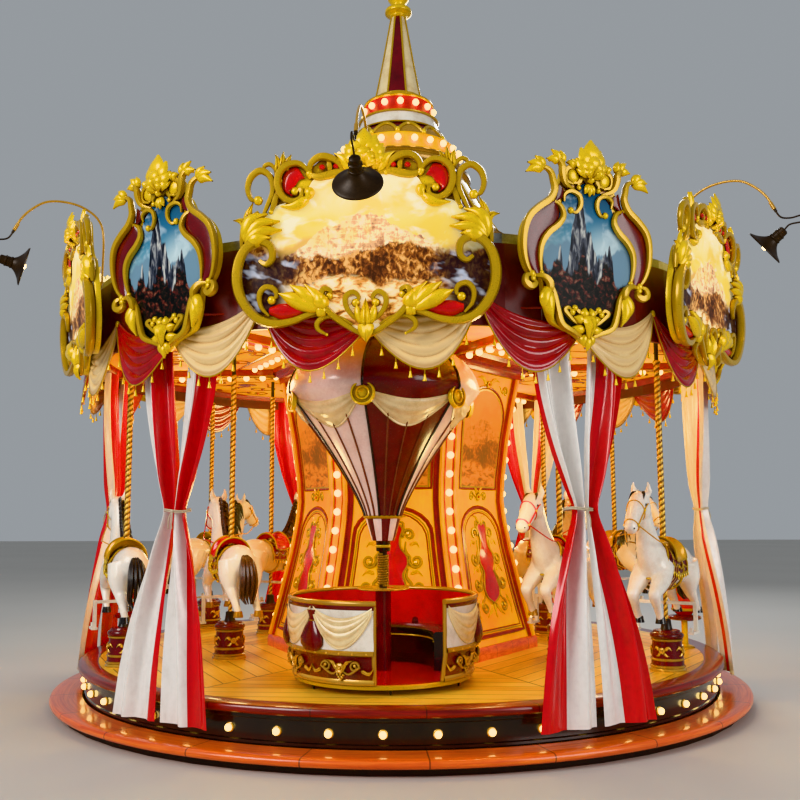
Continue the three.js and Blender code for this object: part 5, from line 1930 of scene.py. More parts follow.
    def build(self, paints: Paints) -> None:
        """Makes the dome, the rings, the cone and the finial."""
        mats = [paints.crimson, paints.cream, paints.gold, paints.bronze, paints.maroon, paints.strip,
                paints.white, paints.glow]
        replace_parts(self._dome().build("crown_gores", mats, 40, slot="maroon_lacquer"), "crown_dome")
        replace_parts(self._lower_ring().build("lower_ring_moulding", mats, 40, slot="gold_leaf"),
                    "lower_light_ring")
        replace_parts(self._upper_ring().build("upper_ring_moulding", mats, 40, slot="gold_leaf"),
                    "upper_light_ring")
        self._lamps().build("crown_lamps", [paints.bulb, paints.brass], 40, slot="gold_leaf")
        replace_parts(self._spire().build("spire_gores", mats, 40, slot="maroon_lacquer"), "spire_cone")
        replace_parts(self._finial().build("finial_knob", mats, 50, slot="gold_leaf"), "finial")
        repaint("roof_frame", paints.iron)


@dataclass(frozen=True)
class Hang:
    """How one half of a curtain hangs at one height.

    Attributes:
        z: the height.
        near: the sideways place of the edge by the middle.
        far: the sideways place of the outer edge.
        out: the distance from the axis.
    """

    z: float
    near: float
    far: float
    out: float


Bands = tuple[tuple[float, int], ...]


@dataclass(frozen=True)
class Stripes:
    """Where a pair of sheets changes colour from the middle outward: 0 is red and 1 is white.

    Attributes:
        left: the left sheet's bands above its tie and below it.
        right: the right sheet's bands above its tie and below it.
    """

    left: tuple[Bands, Bands]
    right: tuple[Bands, Bands]


@dataclass
class Curtains:
    """Six pairs of coated sheets, tied at the middle and flared over the deck's edge."""

    flat: tuple[float, float] = (0.45, 2.66)
    tie_z: float = 1.49
    knot: tuple[float, float] = (0.02, -2.64)
    pleats: float = 1.7
    hangs: tuple[Hang, ...] = (
        Hang(2.745, 0.075, 0.362, 2.556), Hang(2.45, 0.06, 0.358, 2.556), Hang(2.25, 0.045, 0.336, 2.556),
        Hang(2.05, 0.028, 0.29, 2.558), Hang(1.85, 0.012, 0.23, 2.56), Hang(1.65, 0.004, 0.154, 2.566),
        Hang(1.54, 0.002, 0.108, 2.572), Hang(1.49, 0.002, 0.098, 2.574), Hang(1.43, 0.003, 0.108, 2.578),
        Hang(1.3, 0.005, 0.16, 2.588), Hang(1.12, 0.008, 0.226, 2.606), Hang(0.81, 0.012, 0.326, 2.64),
        Hang(0.5, 0.018, 0.392, 2.666), Hang(0.185, 0.024, 0.436, 2.678))
    sway: tuple[float, ...] = (0.05, 0.0, 0.01, -0.01, 0.0, -0.02)
    stripes: tuple[Stripes, ...] = (
        Stripes((((0.93, 1), (1.0, 0)), ((0.5, 1), (1.0, 0))),
                (((0.36, 1), (1.0, 0)), ((0.43, 1), (1.0, 0)))),
        Stripes((((0.5, 1), (0.6, 0), (1.0, 1)),) * 2, (((1.0, 1),),) * 2),
        Stripes((((0.3, 1), (0.45, 0), (1.0, 1)),) * 2, (((0.45, 1), (1.0, 0)),) * 2),
        Stripes((((0.62, 1), (1.0, 0)),) * 2, (((0.36, 1), (1.0, 0)),) * 2),
        Stripes((((0.2, 1), (1.0, 0)),) * 2, (((0.7, 0), (1.0, 1)),) * 2),
        Stripes((((0.6, 0), (1.0, 1)), ((0.16, 0), (1.0, 1))),
                (((0.46, 1), (1.0, 0)), ((0.6, 1), (1.0, 0)))))

    def _fold(self, hang: Hang, seed: float, columns: int) -> list[tuple[float, float]]:
        """The places of one row of cloth, nearly as long as the flat sheet is wide.

        Args:
            hang: the height's edges.
            seed: a number that varies the pleats.
            columns: pieces across.

        Returns:
            Sideways and outward places.
        """
        span = hang.far - hang.near
        twist = 0.5 * math.sin(seed * 3.1 + hang.z * 1.7)
        wanted = self.flat[0] * (1 - 0.36 * math.exp(-((hang.z - self.tie_z) / 0.16) ** 2))

        def row(deep: float) -> list[tuple[float, float]]:
            """The row for a depth of pleat."""
            out = []
            for c in range(columns + 1):
                u = c / columns
                wave = math.sin(TURN * self.pleats * (u + 0.05 * math.sin(TURN * u + seed)) + twist + seed)
                wave += 0.2 * math.sin(TURN * 3.7 * u + seed * 2.3 + hang.z)
                out.append((hang.near + span * u, deep * wave * min(1.0, 5 * u + 0.25, 5 * (1 - u) + 0.25)))
            return out

        low, high = 0.0, 0.2
        for _ in range(22):
            mid = (low + high) / 2
            r = row(mid)
            length = sum(math.hypot(b[0] - a[0], b[1] - a[1]) for a, b in zip(r, r[1:]))
            low, high = (mid, high) if length < wanted else (low, mid)
        return row(low)

    def _half(self, index: int, side: int, paints: Paints) -> None:
        """Makes one hanging sheet."""
        columns, seed = 44, index * 1.7 + side * 0.9
        places = smooth_line([(h.near, h.far, h.out) for h in self.hangs], 4)
        heights = smooth_line([(h.z, 0, 0) for h in self.hangs], 4)
        rows = [Hang(z.x, p.x, p.y, p.z) for z, p in zip(heights, places)]
        s = Shell()
        net = []
        for hang in rows:
            shift = self.sway[index]
            net.append([Vector((side * x + shift, -(hang.out + y), hang.z))
                        for x, y in self._fold(hang, seed, columns)])
        s.grid(net, 0)
        bands = self.stripes[index].left if side < 0 else self.stripes[index].right
        for f in range(len(s.faces)):
            u = (f % columns + 0.5) / columns
            band = bands[0] if rows[f // columns].z > self.tie_z + 0.001 else bands[1]
            s.paint[f] = next(p for edge, p in band if u <= edge)
        s.verts = [facing(index * SECTOR + HALF_SECTOR) @ v for v in s.verts]
        name = f"curtain_sheet_{index + 1}_{'left' if side < 0 else 'right'}"
        piece = s.build(name, [paints.red_cloth, paints.white_cloth], 180, slot="curtain_vinyl")
        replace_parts(piece, f"curtain_{index + 1}")

    def build(self, paints: Paints) -> None:
        """Makes the sheets and their ties."""
        for i in range(SECTORS):
            ring = [Vector((0.106 * math.cos(TURN * k / 28), -2.574 + 0.06 * math.sin(TURN * k / 28),
                            self.tie_z + 0.006 * math.sin(TURN * k / 14))) for k in range(28)]
            s = Shell().tube(ring, 0.0045, 8, 0, True, side=(0, 0, 1))
            s.tube([v + Vector((0, 0, 0.01)) for v in ring], 0.0045, 8, 0, True, side=(0, 0, 1))
            x, y, z = *self.knot, self.tie_z
            s.ball((x, y, z + 0.004), (0.013, 0.01, 0.011), 8, 0)
            for end in (-1, 1):
                s.tube(smooth_line([(x, y, z), (x + end * 0.012, -2.655, z - 0.05),
                                    (x + end * 0.016, -2.652, z - 0.11)], 4), 0.004, 6, 0)
            s.verts = [facing(i * SECTOR + HALF_SECTOR) @ v for v in s.verts]
            s.build(f"curtain_tie_{i + 1}", [paints.tie], 50, slot="black_enamel")
            for side in (-1, 1):
                self._half(i, side, paints)


@dataclass
class Gondola:
    """The balloon gondola: floor, tub, bench, post, hand wheel and balloon."""

    at: float = 1.64
    foot: float = 0.612
    hip: float = 0.648
    rim: float = 0.93
    door: tuple[float, float] = (0.0, 44.0)
    fields: int = 8
    studs: int = 40
    bench: tuple[float, float] = (84, 320)
    wheel: tuple[float, float] = (0.175, 0.954)
    throat: tuple[float, float] = (0.126, 1.445)
    balloon_r: float = 0.68
    wide_z: float = 2.31
    cap: float = 0.41
    gore_phase: float = -6.0

    @property
    def middle(self) -> Matrix:
        """The gondola's own place."""
        return Matrix.Translation((0, -self.at, 0))

    def _place(self, s: Shell) -> Shell:
        """Moves a shell to the gondola's axis."""
        return Shell().merge(s, self.middle)

    def _drape(self, start: float, wide: float, top: float, drop: float, radius: Callable[[float], float],
               bulge: float, paint: int, folds: float = 3.5) -> Shell:
        """A moulded swag on a round wall.

        Args:
            start: the angle of its left end.
            wide: the angle that it spans.
            top: the height of its ends.
            drop: how far its middle hangs.
            radius: the wall's radius at a height.
            bulge: how far it stands proud.
            paint: the paint number.
            folds: the number of folds.

        Returns:
            The shell.
        """
        rows = []
        for r in range(15):
            v = r / 14
            row = []
            for c in range(17):
                u = c / 16
                hang = math.sin(math.pi * u) ** 0.8
                high = top - drop * 0.3 * hang
                z = high + (top - 0.03 - drop * hang - high) * v
                out = bulge * (0.25 + 0.75 * math.sin(math.pi * min(1, v * 1.15)) * hang)
                out += 0.012 * (abs(math.sin(math.pi * folds * v)) - 0.3) * hang
                row.append(polar(radius(z) + out, start + wide * u, z))
            rows.append(row)
        s = Shell().grid(rows, paint)
        s.tube(rows[-1], 0.008, 6, paint, side=polar(1, start + wide / 2))
        return s

    def _wall(self, span: tuple[float, float]) -> Shell:
        """The tub's wall and its mouldings, over the angles that it spans."""
        f, h, s = self.foot, self.hip, Shell()
        for paint, profile in (
                (1, [(f - 0.012, 0.4053), (f + 0.012, 0.4053), (f + 0.016, 0.42), (f + 0.008, 0.438)]),
                (2, [(f + 0.008, 0.438), (f + 0.022, 0.49), (h - 0.012, 0.56), (h - 0.004, 0.585)]),
                (1, [(h - 0.004, 0.585), (h + 0.014, 0.592), (h + 0.016, 0.606), (h + 0.004, 0.618)]),
                (0, [(h + 0.002, 0.618), (h, 0.7), (h, 0.868)]),
                (2, [(h, 0.868), (h + 0.006, 0.874), (h + 0.004, 0.9)]),
                (3, [(h - 0.03, 0.9), (h - 0.03, 0.56), (f - 0.028, 0.42)])):
            s.lathe(profile, 72, paint, span)
        line = [polar(h - 0.006, a, self.rim - 0.022) for a in np.linspace(span[0] - 1.2, span[1] + 1.2, 80)]
        s.tube(line, 0.0175, 10, 1, side=(0, 0, 1))
        for i in range(self.studs):
            s.ball(polar(h + 0.012, span[0] + (i + 0.5) * (span[1] - span[0]) / self.studs, 0.6), 0.009, 6,
                   1)
        return s

    def _ornament(self) -> Shell:
        """The scrolls, the flower and the grapes of one field, built at the front."""
        art, r = Shell(), self.foot + 0.03
        for side in (-1, 1):
            art.merge(curl((side * 0.1, -r, 0.52), 0 if side > 0 else 180, side * 1.2, (0.034, 0.01), 0.008,
                           1, lead=[(side * 0.01, -r, 0.5), (side * 0.06, -r, 0.475)]))
            for places in (((0.02, -0.004, 0.5), (0.05, -0.01, 0.545), (0.1, 0, 0.56)),
                           ((0.14, 0.012, 0.5), (0.19, 0.024, 0.48), (0.22, 0.036, 0.52))):
                line = smooth_line([(side * x, y - r, z) for x, y, z in places], 4)
                art.merge(leaf(line, 0.014, 0.012, 3, paint=1))
        art.merge(rosette((0, -r, 0.51), 0.032, 0.02, 6, 1, 1))
        for x, z in ((-0.02, 0.47), (0, 0.472), (0.02, 0.47), (-0.01, 0.455), (0.01, 0.455), (0, 0.442)):
            art.ball((x, -r + 0.006, z), 0.0105, 6, 1)
        return art

    @staticmethod
    def _sandbag() -> Shell:
        """A flattened moulded sandbag, on the axis."""
        bag = Shell().lathe([(0.0, 0.6), (0.066, 0.606), (0.102, 0.645), (0.1, 0.69), (0.068, 0.745),
                             (0.03, 0.79)], 20, 2)
        bag.lathe([(0.026, 0.79), (0.034, 0.8), (0.022, 0.812), (0.036, 0.835), (0.044, 0.86), (0.0, 0.856)],
                  20, 2)
        bag.lathe([(0.024, 0.788), (0.034, 0.795), (0.024, 0.803)], 16, 1)
        return Shell().merge(bag, Matrix.Diagonal((1, 0.36, 1, 1)))

    def _tub(self, paints: Paints) -> None:
        """The tub's wall with its mouldings, swags and sandbags."""
        span, f, h = (self.door[1], 360.0), self.foot, self.hip
        s, art, bag = self._wall(span), self._ornament(), self._sandbag()
        wide = (span[1] - span[0]) / self.fields
        for i in range(self.fields):
            a = span[0] + i * wide
            s.merge(self._drape(a + 1, wide - 2, 0.885, 0.225, lambda z: h + 0.002, 0.02, 4, 4.0))
            s.merge(art, facing(a + wide / 2))
            if i:
                s.merge(bag, facing(a) @ Matrix.Translation((0, -h - 0.004, 0)))
        for a in span:
            edge = [polar(f - 0.008, a, 0.41), polar(h - 0.014, a, 0.57), polar(h - 0.014, a, 0.91)]
            s.tube(edge, 0.015, 8, 1, side=polar(1, a))
        mats = [paints.white, paints.brass, paints.maroon, paints.crimson, paints.cream]
        piece = self._place(s).build("gondola_tub_moulding", mats, 50, "gondola", "cream_moulding")
        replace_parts(piece, "gondola_tub")

    def _inside(self, paints: Paints) -> None:
        """The floor with its castors, and the curved bench."""
        f = Shell()
        r = self.foot
        f.lathe([(0.052, 0.373), (r - 0.02, 0.373), (r, 0.378), (r, 0.398), (r - 0.012, 0.4045)], 72, 1)
        f.lathe([(r - 0.012, 0.4045), (0.052, 0.4045), (0.052, 0.373)], 72, 0)
        for i in range(SECTORS):
            wheel = Shell()
            ring = [Vector((0.0, 0.016 * math.cos(TURN * k / 12), 0.3535 + 0.016 * math.sin(TURN * k / 12)))
                    for k in range(12)]
            wheel.tube(ring, 0.006, 6, 2, True, side=(1, 0, 0))
            wheel.block((-0.008, -0.01, 0.346), (0.008, 0.01, 0.374), 2)
            f.merge(wheel, Matrix.Translation(polar(r - 0.06, i * SECTOR + 10)))
        mats = [paints.crimson, paints.gold, paints.dark]
        piece = self._place(f).build("gondola_floor_plate", mats, 40, "gondola", "gold_leaf")
        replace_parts(piece, "gondola_floor")
        b = Shell()
        seat = [(0.352, 0.4053), (0.352, 0.6), (0.344, 0.625), (0.346, 0.65), (0.366, 0.664), (0.45, 0.668),
                (0.57, 0.66), (0.581, 0.65), (0.581, 0.4053)]
        b.lathe(seat, 60, 0, self.bench, round_profile=True)
        for a in self.bench:
            base = len(b.verts)
            b.verts += [polar(x, a, z) for x, z in seat]
            b.faces.append(tuple(range(base, base + len(seat))))
            b.paint.append(0)
        b.tube([polar(0.349, a, 0.6) for a in np.linspace(*self.bench, 40)], 0.005, 6, 1, side=(0, 0, 1))
        piece = self._place(b).build("gondola_seat", [paints.black, paints.gold], 50, "gondola",
                                     "bench_black")
        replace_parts(piece, "gondola_bench")

    def _column(self, paints: Paints) -> None:
        """The post, the hand wheel and the sprung neck."""
        s = Shell()
        s.lathe([(0.0, 0.338), (0.07, 0.338), (0.07, 0.348), (0.056, 0.356), (0.054, 0.93), (0.056, 0.94),
                 (0.028, 0.9475)], 36, 0)
        s.lathe([(0.056, 0.352), (0.062, 0.358), (0.061, 0.37), (0.0545, 0.376)], 36, 1)
        s.lathe([(0.0275, 0.961), (0.0275, 1.2), (0.03, 1.2075)], 24, 2)
        coil = [polar(0.034, 360 * t * 13, 0.975 + 0.215 * t) for t in np.linspace(0, 1, 208)]
        s.tube(coil, 0.0075, 6, 3, side=(0, 0, 1))
        mats = [paints.maroon, paints.gold, paints.dark, paints.bronze]
        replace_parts(self._place(s).build("gondola_column", mats, 50, slot="maroon_lacquer"), "gondola_post")
        w = Shell()
        reach, z = self.wheel
        ring = [polar(reach, k * 7.5, z) for k in range(48)]
        w.tube(ring, 0.0095, 8, 0, True, side=(0, 0, 1), flat=0.65)
        w.lathe([(0.0285, z - 0.005), (0.08, z - 0.005), (0.084, z), (0.08, z + 0.005), (0.0285, z + 0.005)],
                40, 0)
        for k in range(12):
            arm = Shell().tube([(0, -0.078, z), (0, 0.003 - reach, z)], [0.017, 0.012, 0.02], 6, 0,
                               flat=0.22, side=(0, 0, 1))
            w.merge(arm, facing(k * 30))
        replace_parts(self._place(w).build("hand_wheel_ring", [paints.brass], 50, slot="gold_leaf"),
                    "hand_wheel")

    def profile(self) -> list[tuple[float, float]]:
        """The envelope's radius and height, from the throat to the top."""
        (r, z), out = self.throat, []
        for i in range(23):
            t = i / 22
            out.append((r + (self.balloon_r - r) * t ** 1.25, z + (self.wide_z - z) * t))
        for i in range(1, 15):
            a = i * math.pi / 28
            out.append((max(0.004, self.balloon_r * math.cos(a)), self.wide_z + self.cap * math.sin(a)))
        return out

    def _envelope(self, paints: Paints) -> None:
        """The gored balloon with its ribs, collar, swags and rosettes."""
        s = Shell()
        profile = self.profile()

        def radius(z: float) -> float:
            """The envelope's radius at a height on its lower part."""
            below = [p for p in profile if p[1] <= self.wide_z + 1e-6]
            for (r0, z0), (r1, z1) in zip(below, below[1:]):
                if z0 <= z <= z1:
                    return r0 + (r1 - r0) * (z - z0) / (z1 - z0)
            k = max(0.0, 1 - ((z - self.wide_z) / self.cap) ** 2)
            return self.balloon_r * math.sqrt(k)

        for g in range(SECTORS):
            start = self.gore_phase + g * SECTOR
            rows = []
            for k in range(13):
                u = k / 12
                full = 1 + 0.012 * math.sin(math.pi * u)
                rows.append([polar(r * full, start + SECTOR * u, z) for r, z in profile])
            s.grid(rows, g % 2)
            s.tube([polar(r + 0.002, start, z) for r, z in profile[:-1]], 0.0085, 6, 2, side=polar(1, start))
            for k in (1, 2, 3):
                a = start + 15 * k
                s.tube([polar(r * (1 + 0.012 * math.sin(math.pi * k / 4)) + 0.002, a, z)
                        for r, z in profile if z < 2.19], 0.007, 5, 3, side=polar(1, a))
            s.merge(self._drape(start + 2, 56, 2.275, 0.195, radius, 0.03, 4, 3.0))
            s.merge(medal((0, -radius(2.24) - 0.022, 2.245), 0.082, 0.04, 5), facing(start))
        s.lathe([(0.12, 1.434), (0.136, 1.44), (0.14, 1.45), (0.128, 1.46)], 36, 5)
        for k in range(12):
            rows = []
            for j in range(5):
                a = (k + j / 4) * 30
                rows.append([polar(r * (1 + 0.02 * math.sin(math.pi * j / 4)), a, z) for r, z in
                             [(0.05, 1.279), (0.078, 1.283), (0.09, 1.32), (0.106, 1.38), (0.122, 1.436)]])
            s.grid(rows, k % 2)
        s.lathe([(0.0, 1.2085), (0.046, 1.2085), (0.05, 1.215), (0.05, 1.27), (0.056, 1.279), (0.05, 1.29)],
                36, 6)
        s.lathe([(0.05, 1.235), (0.054, 1.24), (0.054, 1.248), (0.05, 1.253)], 36, 5)
        mats = [paints.maroon, paints.pearl, paints.black, paints.rib, paints.cream, paints.gold,
                paints.black]
        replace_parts(self._place(s).build("balloon_envelope", mats, 50, slot="maroon_lacquer"), "balloon")

    def build(self, paints: Paints) -> None:
        """Makes every piece of the gondola."""
        self._tub(paints)
        self._inside(paints)
        self._column(paints)
        self._envelope(paints)


@dataclass
class Horses:
    """Ten rising horses on twisted poles."""

    leg_y: float = 0.078
    sleeve: tuple[float, float] = (1.15, 2.6)
    rings: tuple[tuple[float, float, float, float, float], ...] = (
        (-0.4, 1.1, 0.04, 0.05, 0), (-0.345, 1.1, 0.1, 0.115, 0), (-0.2, 1.085, 0.132, 0.148, 0),
        (-0.06, 1.06, 0.126, 0.138, 0), (0.07, 1.055, 0.124, 0.14, -4), (0.2, 1.095, 0.118, 0.155, -20),
        (0.3, 1.2, 0.088, 0.132, -48), (0.36, 1.32, 0.066, 0.108, -62), (0.395, 1.43, 0.056, 0.092, -62),
        (0.43, 1.512, 0.063, 0.096, -30), (0.495, 1.522, 0.066, 0.09, 8), (0.56, 1.455, 0.056, 0.074, 34),
        (0.615, 1.396, 0.047, 0.058, 40), (0.652, 1.362, 0.043, 0.05, 42), (0.674, 1.342, 0.024, 0.028, 42))

    def _ring(self, t: float) -> tuple[float, ...]:
        """The body's section at a share from the rump to the muzzle."""
        x = max(0.0, min(1.0, t)) * (len(self.rings) - 1)
        i = min(int(x), len(self.rings) - 2)
        f = x - i
        p = [self.rings[max(0, min(len(self.rings) - 1, i + k))] for k in (-1, 0, 1, 2)]
        return tuple(between(*four, f) for four in zip(*p))

    def at(self, t: float, degrees: float, off: float = 0.0) -> Vector:
        """A point on the body, degrees from the top towards the left."""
        x, z, half, high, lean = self._ring(t)
        a, tilt = math.radians(degrees), math.radians(lean)
        up, side = (high + off) * math.cos(a), (half + off) * math.sin(a)
        return Vector((x + up * math.sin(tilt), side, z + up * math.cos(tilt)))

    def _flesh(self) -> Shell:
        """The smooth white body, head and legs as one skin."""
        raw = Shell()
        ends = [[self.at(t, 0).lerp(self.at(t, 180), 0.5)] * 20 for t in (0.0, 1.0)]
        rows = [[self.at(i / 56, 360 * k / 20) for k in range(20)] for i in range(57)]
        raw.grid([ends[0], *rows, ends[1]], 0, False, True)
        for side in (-1, 1):
            y = self.leg_y * side
            raw.tube(smooth_line([(0.2, y * 0.75, 1.09), (0.3, y, 1.0), (0.43, y, 0.92), (0.44, y, 0.89),
                                  (0.385, y, 0.8), (0.35, y, 0.75), (0.342, y, 0.72)], 4),
                     [0.085, 0.07, 0.046, 0.042, 0.027, 0.025, 0.032], 12, side=(0, 1, 0))
            raw.tube(smooth_line([(-0.25, y * 0.8, 1.1), (-0.29, y, 0.99), (-0.33, y, 0.89), (-0.4, y, 0.83),
                                  (-0.475, y, 0.76), (-0.5, y, 0.725)], 4),
                     [0.11, 0.095, 0.052, 0.036, 0.026, 0.032], 12, side=(0, 1, 0))
            raw.ball((0.45, 0.04 * side, 1.485), (0.056, 0.034, 0.058), 12)
            raw.ball((0.652, 0.028 * side, 1.364), (0.026, 0.021, 0.023), 10)
            raw.ball((0.507, 0.047 * side, 1.52), (0.025, 0.018, 0.02), 10)
            raw.ball((0.24, 0.06 * side, 1.08), (0.09, 0.07, 0.12), 12)
            raw.tube(smooth_line([(0.425, 0.038 * side, 1.57), (0.42, 0.054 * side, 1.63),
                                  (0.432, 0.05 * side, 1.69)], 4), [0.025, 0.03, 0.02, 0.005], 8, flat=0.55,
                     side=(1, 0, 0))
        raw.ball((0.57, 0, 1.385), (0.045, 0.032, 0.034), 10)
        mesh = bpy.data.meshes.new("horse_raw")
        mesh.from_pydata([tuple(v) for v in raw.verts], [], raw.faces)
        tool = bpy.data.objects.new("horse_raw", mesh)
        bpy.context.scene.collection.objects.link(tool)
        remesh = tool.modifiers.new("skin", "REMESH")
        remesh.mode, remesh.voxel_size = "VOXEL", 0.0095
        soften = tool.modifiers.new("soften", "SMOOTH")
        soften.factor, soften.iterations = 0.5, 6
        thin = tool.modifiers.new("thin", "DECIMATE")
        thin.ratio = 0.23
        evaluated = tool.evaluated_get(bpy.context.evaluated_depsgraph_get())
        skin = evaluated.to_mesh()
        s = Shell().add([v.co.copy() for v in skin.vertices], [tuple(p.vertices) for p in skin.polygons])
        evaluated.to_mesh_clear()
        bpy.data.objects.remove(tool)
        bpy.data.meshes.remove(mesh)
        return s

    def _lock(self, s: Shell, points: Sequence[Point], width: float, paint: int) -> None:
        """Adds one tapering lock of hair."""
        line = smooth_line(points, 3)
        s.tube(line, [width * 0.6, width, width * 0.85, width * 0.12], 6, paint, flat=0.6, side=(0, 1, 0.2))

    def _hair(self) -> Shell:
        """The mane, the forelock and the tail."""
        s, rng = Shell(), random.Random(11)
        for k in range(15):
            t = 0.395 + 0.235 * k / 14
            root = self.at(t, 8, 0.004)
            mid = self.at(t - 0.012, -(48 + rng.uniform(-8, 8)), 0.022)
            tip = self.at(t - 0.035, -(96 + rng.uniform(-14, 14)), 0.012) - Vector((0.02, 0, 0.03))
            self._lock(s, [root, mid, tip], 0.022, 1)
        for k in range(7):
            y = (k - 3) * 0.009
            self._lock(s, [(0.435, y, 1.6), (0.475 + rng.uniform(-0.006, 0.006), y * 1.6, 1.605),
                           (0.525, y * 2.0, 1.56)], 0.013, 1)
        for k in range(13):
            t = 0.41 + 0.22 * k / 12
            self._lock(s, [self.at(t, 6, -0.01), self.at(t, 0, 0.024), self.at(t - 0.03, -14, 0.016)], 0.018,
                       1)
        for k in range(11):
            a = TURN * k / 11
            dx, dy = 0.026 * math.cos(a), 0.03 * math.sin(a)
            self._lock(s, [(-0.37, dy * 0.5, 1.15 + dx * 0.4), (-0.455 + dx, dy * 1.4, 1.1),
                           (-0.5 + dx * 1.6, dy * 1.9, 0.97), (-0.475 + dx * 1.5, dy * 1.8, 0.86),
                           (-0.52 + rng.uniform(-0.01, 0.01), dy, 0.8)], 0.026, 1)
        return s

    def _cloth(self) -> Shell:
        """The saddle cloth with its hem, its bells and its stitched waves."""
        s = Shell()
        spans = [(t / 14, 0.19 + 0.155 * t / 14) for t in range(15)]
        cloth = [[self.at(t, -100 + 200 * k / 24, 0.008 + 0.003 * math.sin(k * 1.3 + u * 9))
                  for k in range(25)] for u, t in spans]
        s.grid(cloth, 2)
        for row in (cloth[0], cloth[-1]):
            s.tube(row, 0.0085, 6, 3, side=(1, 0, 0))
        for j in (0, -1):
            edge = [row[j] for row in cloth]
            s.tube(edge, 0.0085, 6, 3, side=(0, 1, 0))
            for p in edge[::2]:
                s.ball(p + Vector((0, 0.004 * (1 if j else -1), -0.016)), (0.007, 0.007, 0.017), 6, 3)
        for wave in range(3):
            degrees = 40 + wave * 20
            for side in (-1, 1):
                line = [self.at(t, side * (degrees + 6 * math.sin(u * 16)), 0.013) for u, t in spans]
                s.tube(line, 0.005, 5, 3 if wave % 2 == 0 else 4, side=(0, side, 0))
        return s

    def _seat(self) -> Shell:
        """The saddle, higher at its back and its front, with a gold edge."""
        s, seat = Shell(), []
        for u in (i / 16 for i in range(17)):
            back, front = math.exp(-((u - 0.06) / 0.12) ** 2), math.exp(-((u - 0.97) / 0.1) ** 2)
            rise = 0.028 + 0.055 * back + 0.04 * front
            seat.append([self.at(0.205 + 0.12 * u, a, rise * math.cos(math.radians(a * 1.15)) + 0.012)
                         for a in (-64 + 8 * k for k in range(17))])
        s.grid(seat, 4)
        for row in (seat[0], seat[-1], [r[0] for r in seat], [r[-1] for r in seat]):
            s.tube(row, 0.0075, 6, 3, side=(1, 0, 0))
        return s

    def _straps(self) -> Shell:
        """The girth, the collar and the banded garland between them."""
        s = Shell()
        for t, paint, size in ((0.235, 3, 0.011), (0.376, 2, 0.012), (0.39, 3, 0.009)):
            s.tube([self.at(t, 360 * k / 28, 0.006) for k in range(28)], size, 6, paint, True, 0.5,
                   side=(1, 0, 0.3))
        band = [[self.at(0.292 + 0.076 * v / 8 + 0.007 * math.sin(k * 1.25), -160 + 320 * k / 40,
                         0.012 + 0.004 * (v % 2)) for k in range(41)] for v in range(9)]
        for v in range(8):
            s.grid([band[v], band[v + 1]], (5, 2)[v % 2])
        for k in range(2, 39, 2):
            s.ball(band[0][k], (0.011, 0.011, 0.011), 6, 3)
        return s.ball(self.at(0.318, 0, 0.012), (0.05, 0.085, 0.055), 14, 4)

    def _bridle(self) -> Shell:
        """The bridle and the reins, with the eyes, the nostrils and the hooves."""
        s = Shell()
        for t, size in ((0.76, 0.005), (0.88, 0.006)):
            s.tube([self.at(t, 360 * k / 20, 0.002) for k in range(20)], size, 6, 4, True, 0.7,
                   side=(1, 0, -1))
        for side in (-1, 1):
            s.tube([self.at(t, side * 88, 0.003) for t in np.linspace(0.7, 0.88, 9)], 0.005, 6, 4,
                   side=(0, side, 0))
            s.ball(self.at(0.76, side * 88, 0.004), 0.01, 8, 3).ball(self.at(0.88, side * 88, 0.004), 0.01,
                                                                     8, 3)
            rein = smooth_line([self.at(0.88, side * 95, 0.006), (0.42, side * 0.12, 1.27),
                                (0.3, side * 0.13, 1.26), self.at(0.325, side * 30, 0.03)], 6)
            s.tube(rein, 0.005, 6, 4, side=(0, side, 0))
            s.ball((0.508, 0.062 * side, 1.52), (0.014, 0.009, 0.013), 8, 6)
            s.ball((0.672, 0.034 * side, 1.364), (0.008, 0.007, 0.007), 6, 6)
            y = self.leg_y * side
            for x in (0.34, -0.505):
                hoof = Shell().lathe([(0.0, 0.7), (0.038, 0.7), (0.036, 0.712), (0.029, 0.745),
                                      (0.0, 0.746)], 14, 7)
                s.merge(hoof, Matrix.Translation((x, y, 0.006)))
        return s

    def _pole(self) -> Shell:
        """The pole with its twisted sleeve, and the footrests."""
        s = Shell()
        low, high = self.sleeve
        s.lathe([(0.0, 0.46), (0.016, 0.46), (0.016, low)], 12, 8)
        s.lathe([(0.016, high - 0.01), (0.016, 3.0), (0.0, 3.0)], 12, 9)
        s.lathe([(0.0225, low + (high - low) * i / 12) for i in range(13)], 12, 8)
        for z in (1.152, 1.215, 2.585):
            s.lathe(bead(0.02, 0.009, z, 0.012, 0.006), 16, 8)
        for side in (-1, 1):
            y = side * 0.215
            s.block((-0.011, min(y, 0.0) - 0.011, 0.809), (0.011, max(y, 0.0) + 0.011, 0.831), 10)
            s.block((-0.013, y - 0.013, 0.615), (0.013, y + 0.013, 0.834), 10)
            s.block((-0.012, y - 0.022, 0.615), (0.125, y + 0.022, 0.632), 10)
            s.block((0.1, y - 0.011, 0.632), (0.122, y + 0.011, 0.66), 10)
        return s

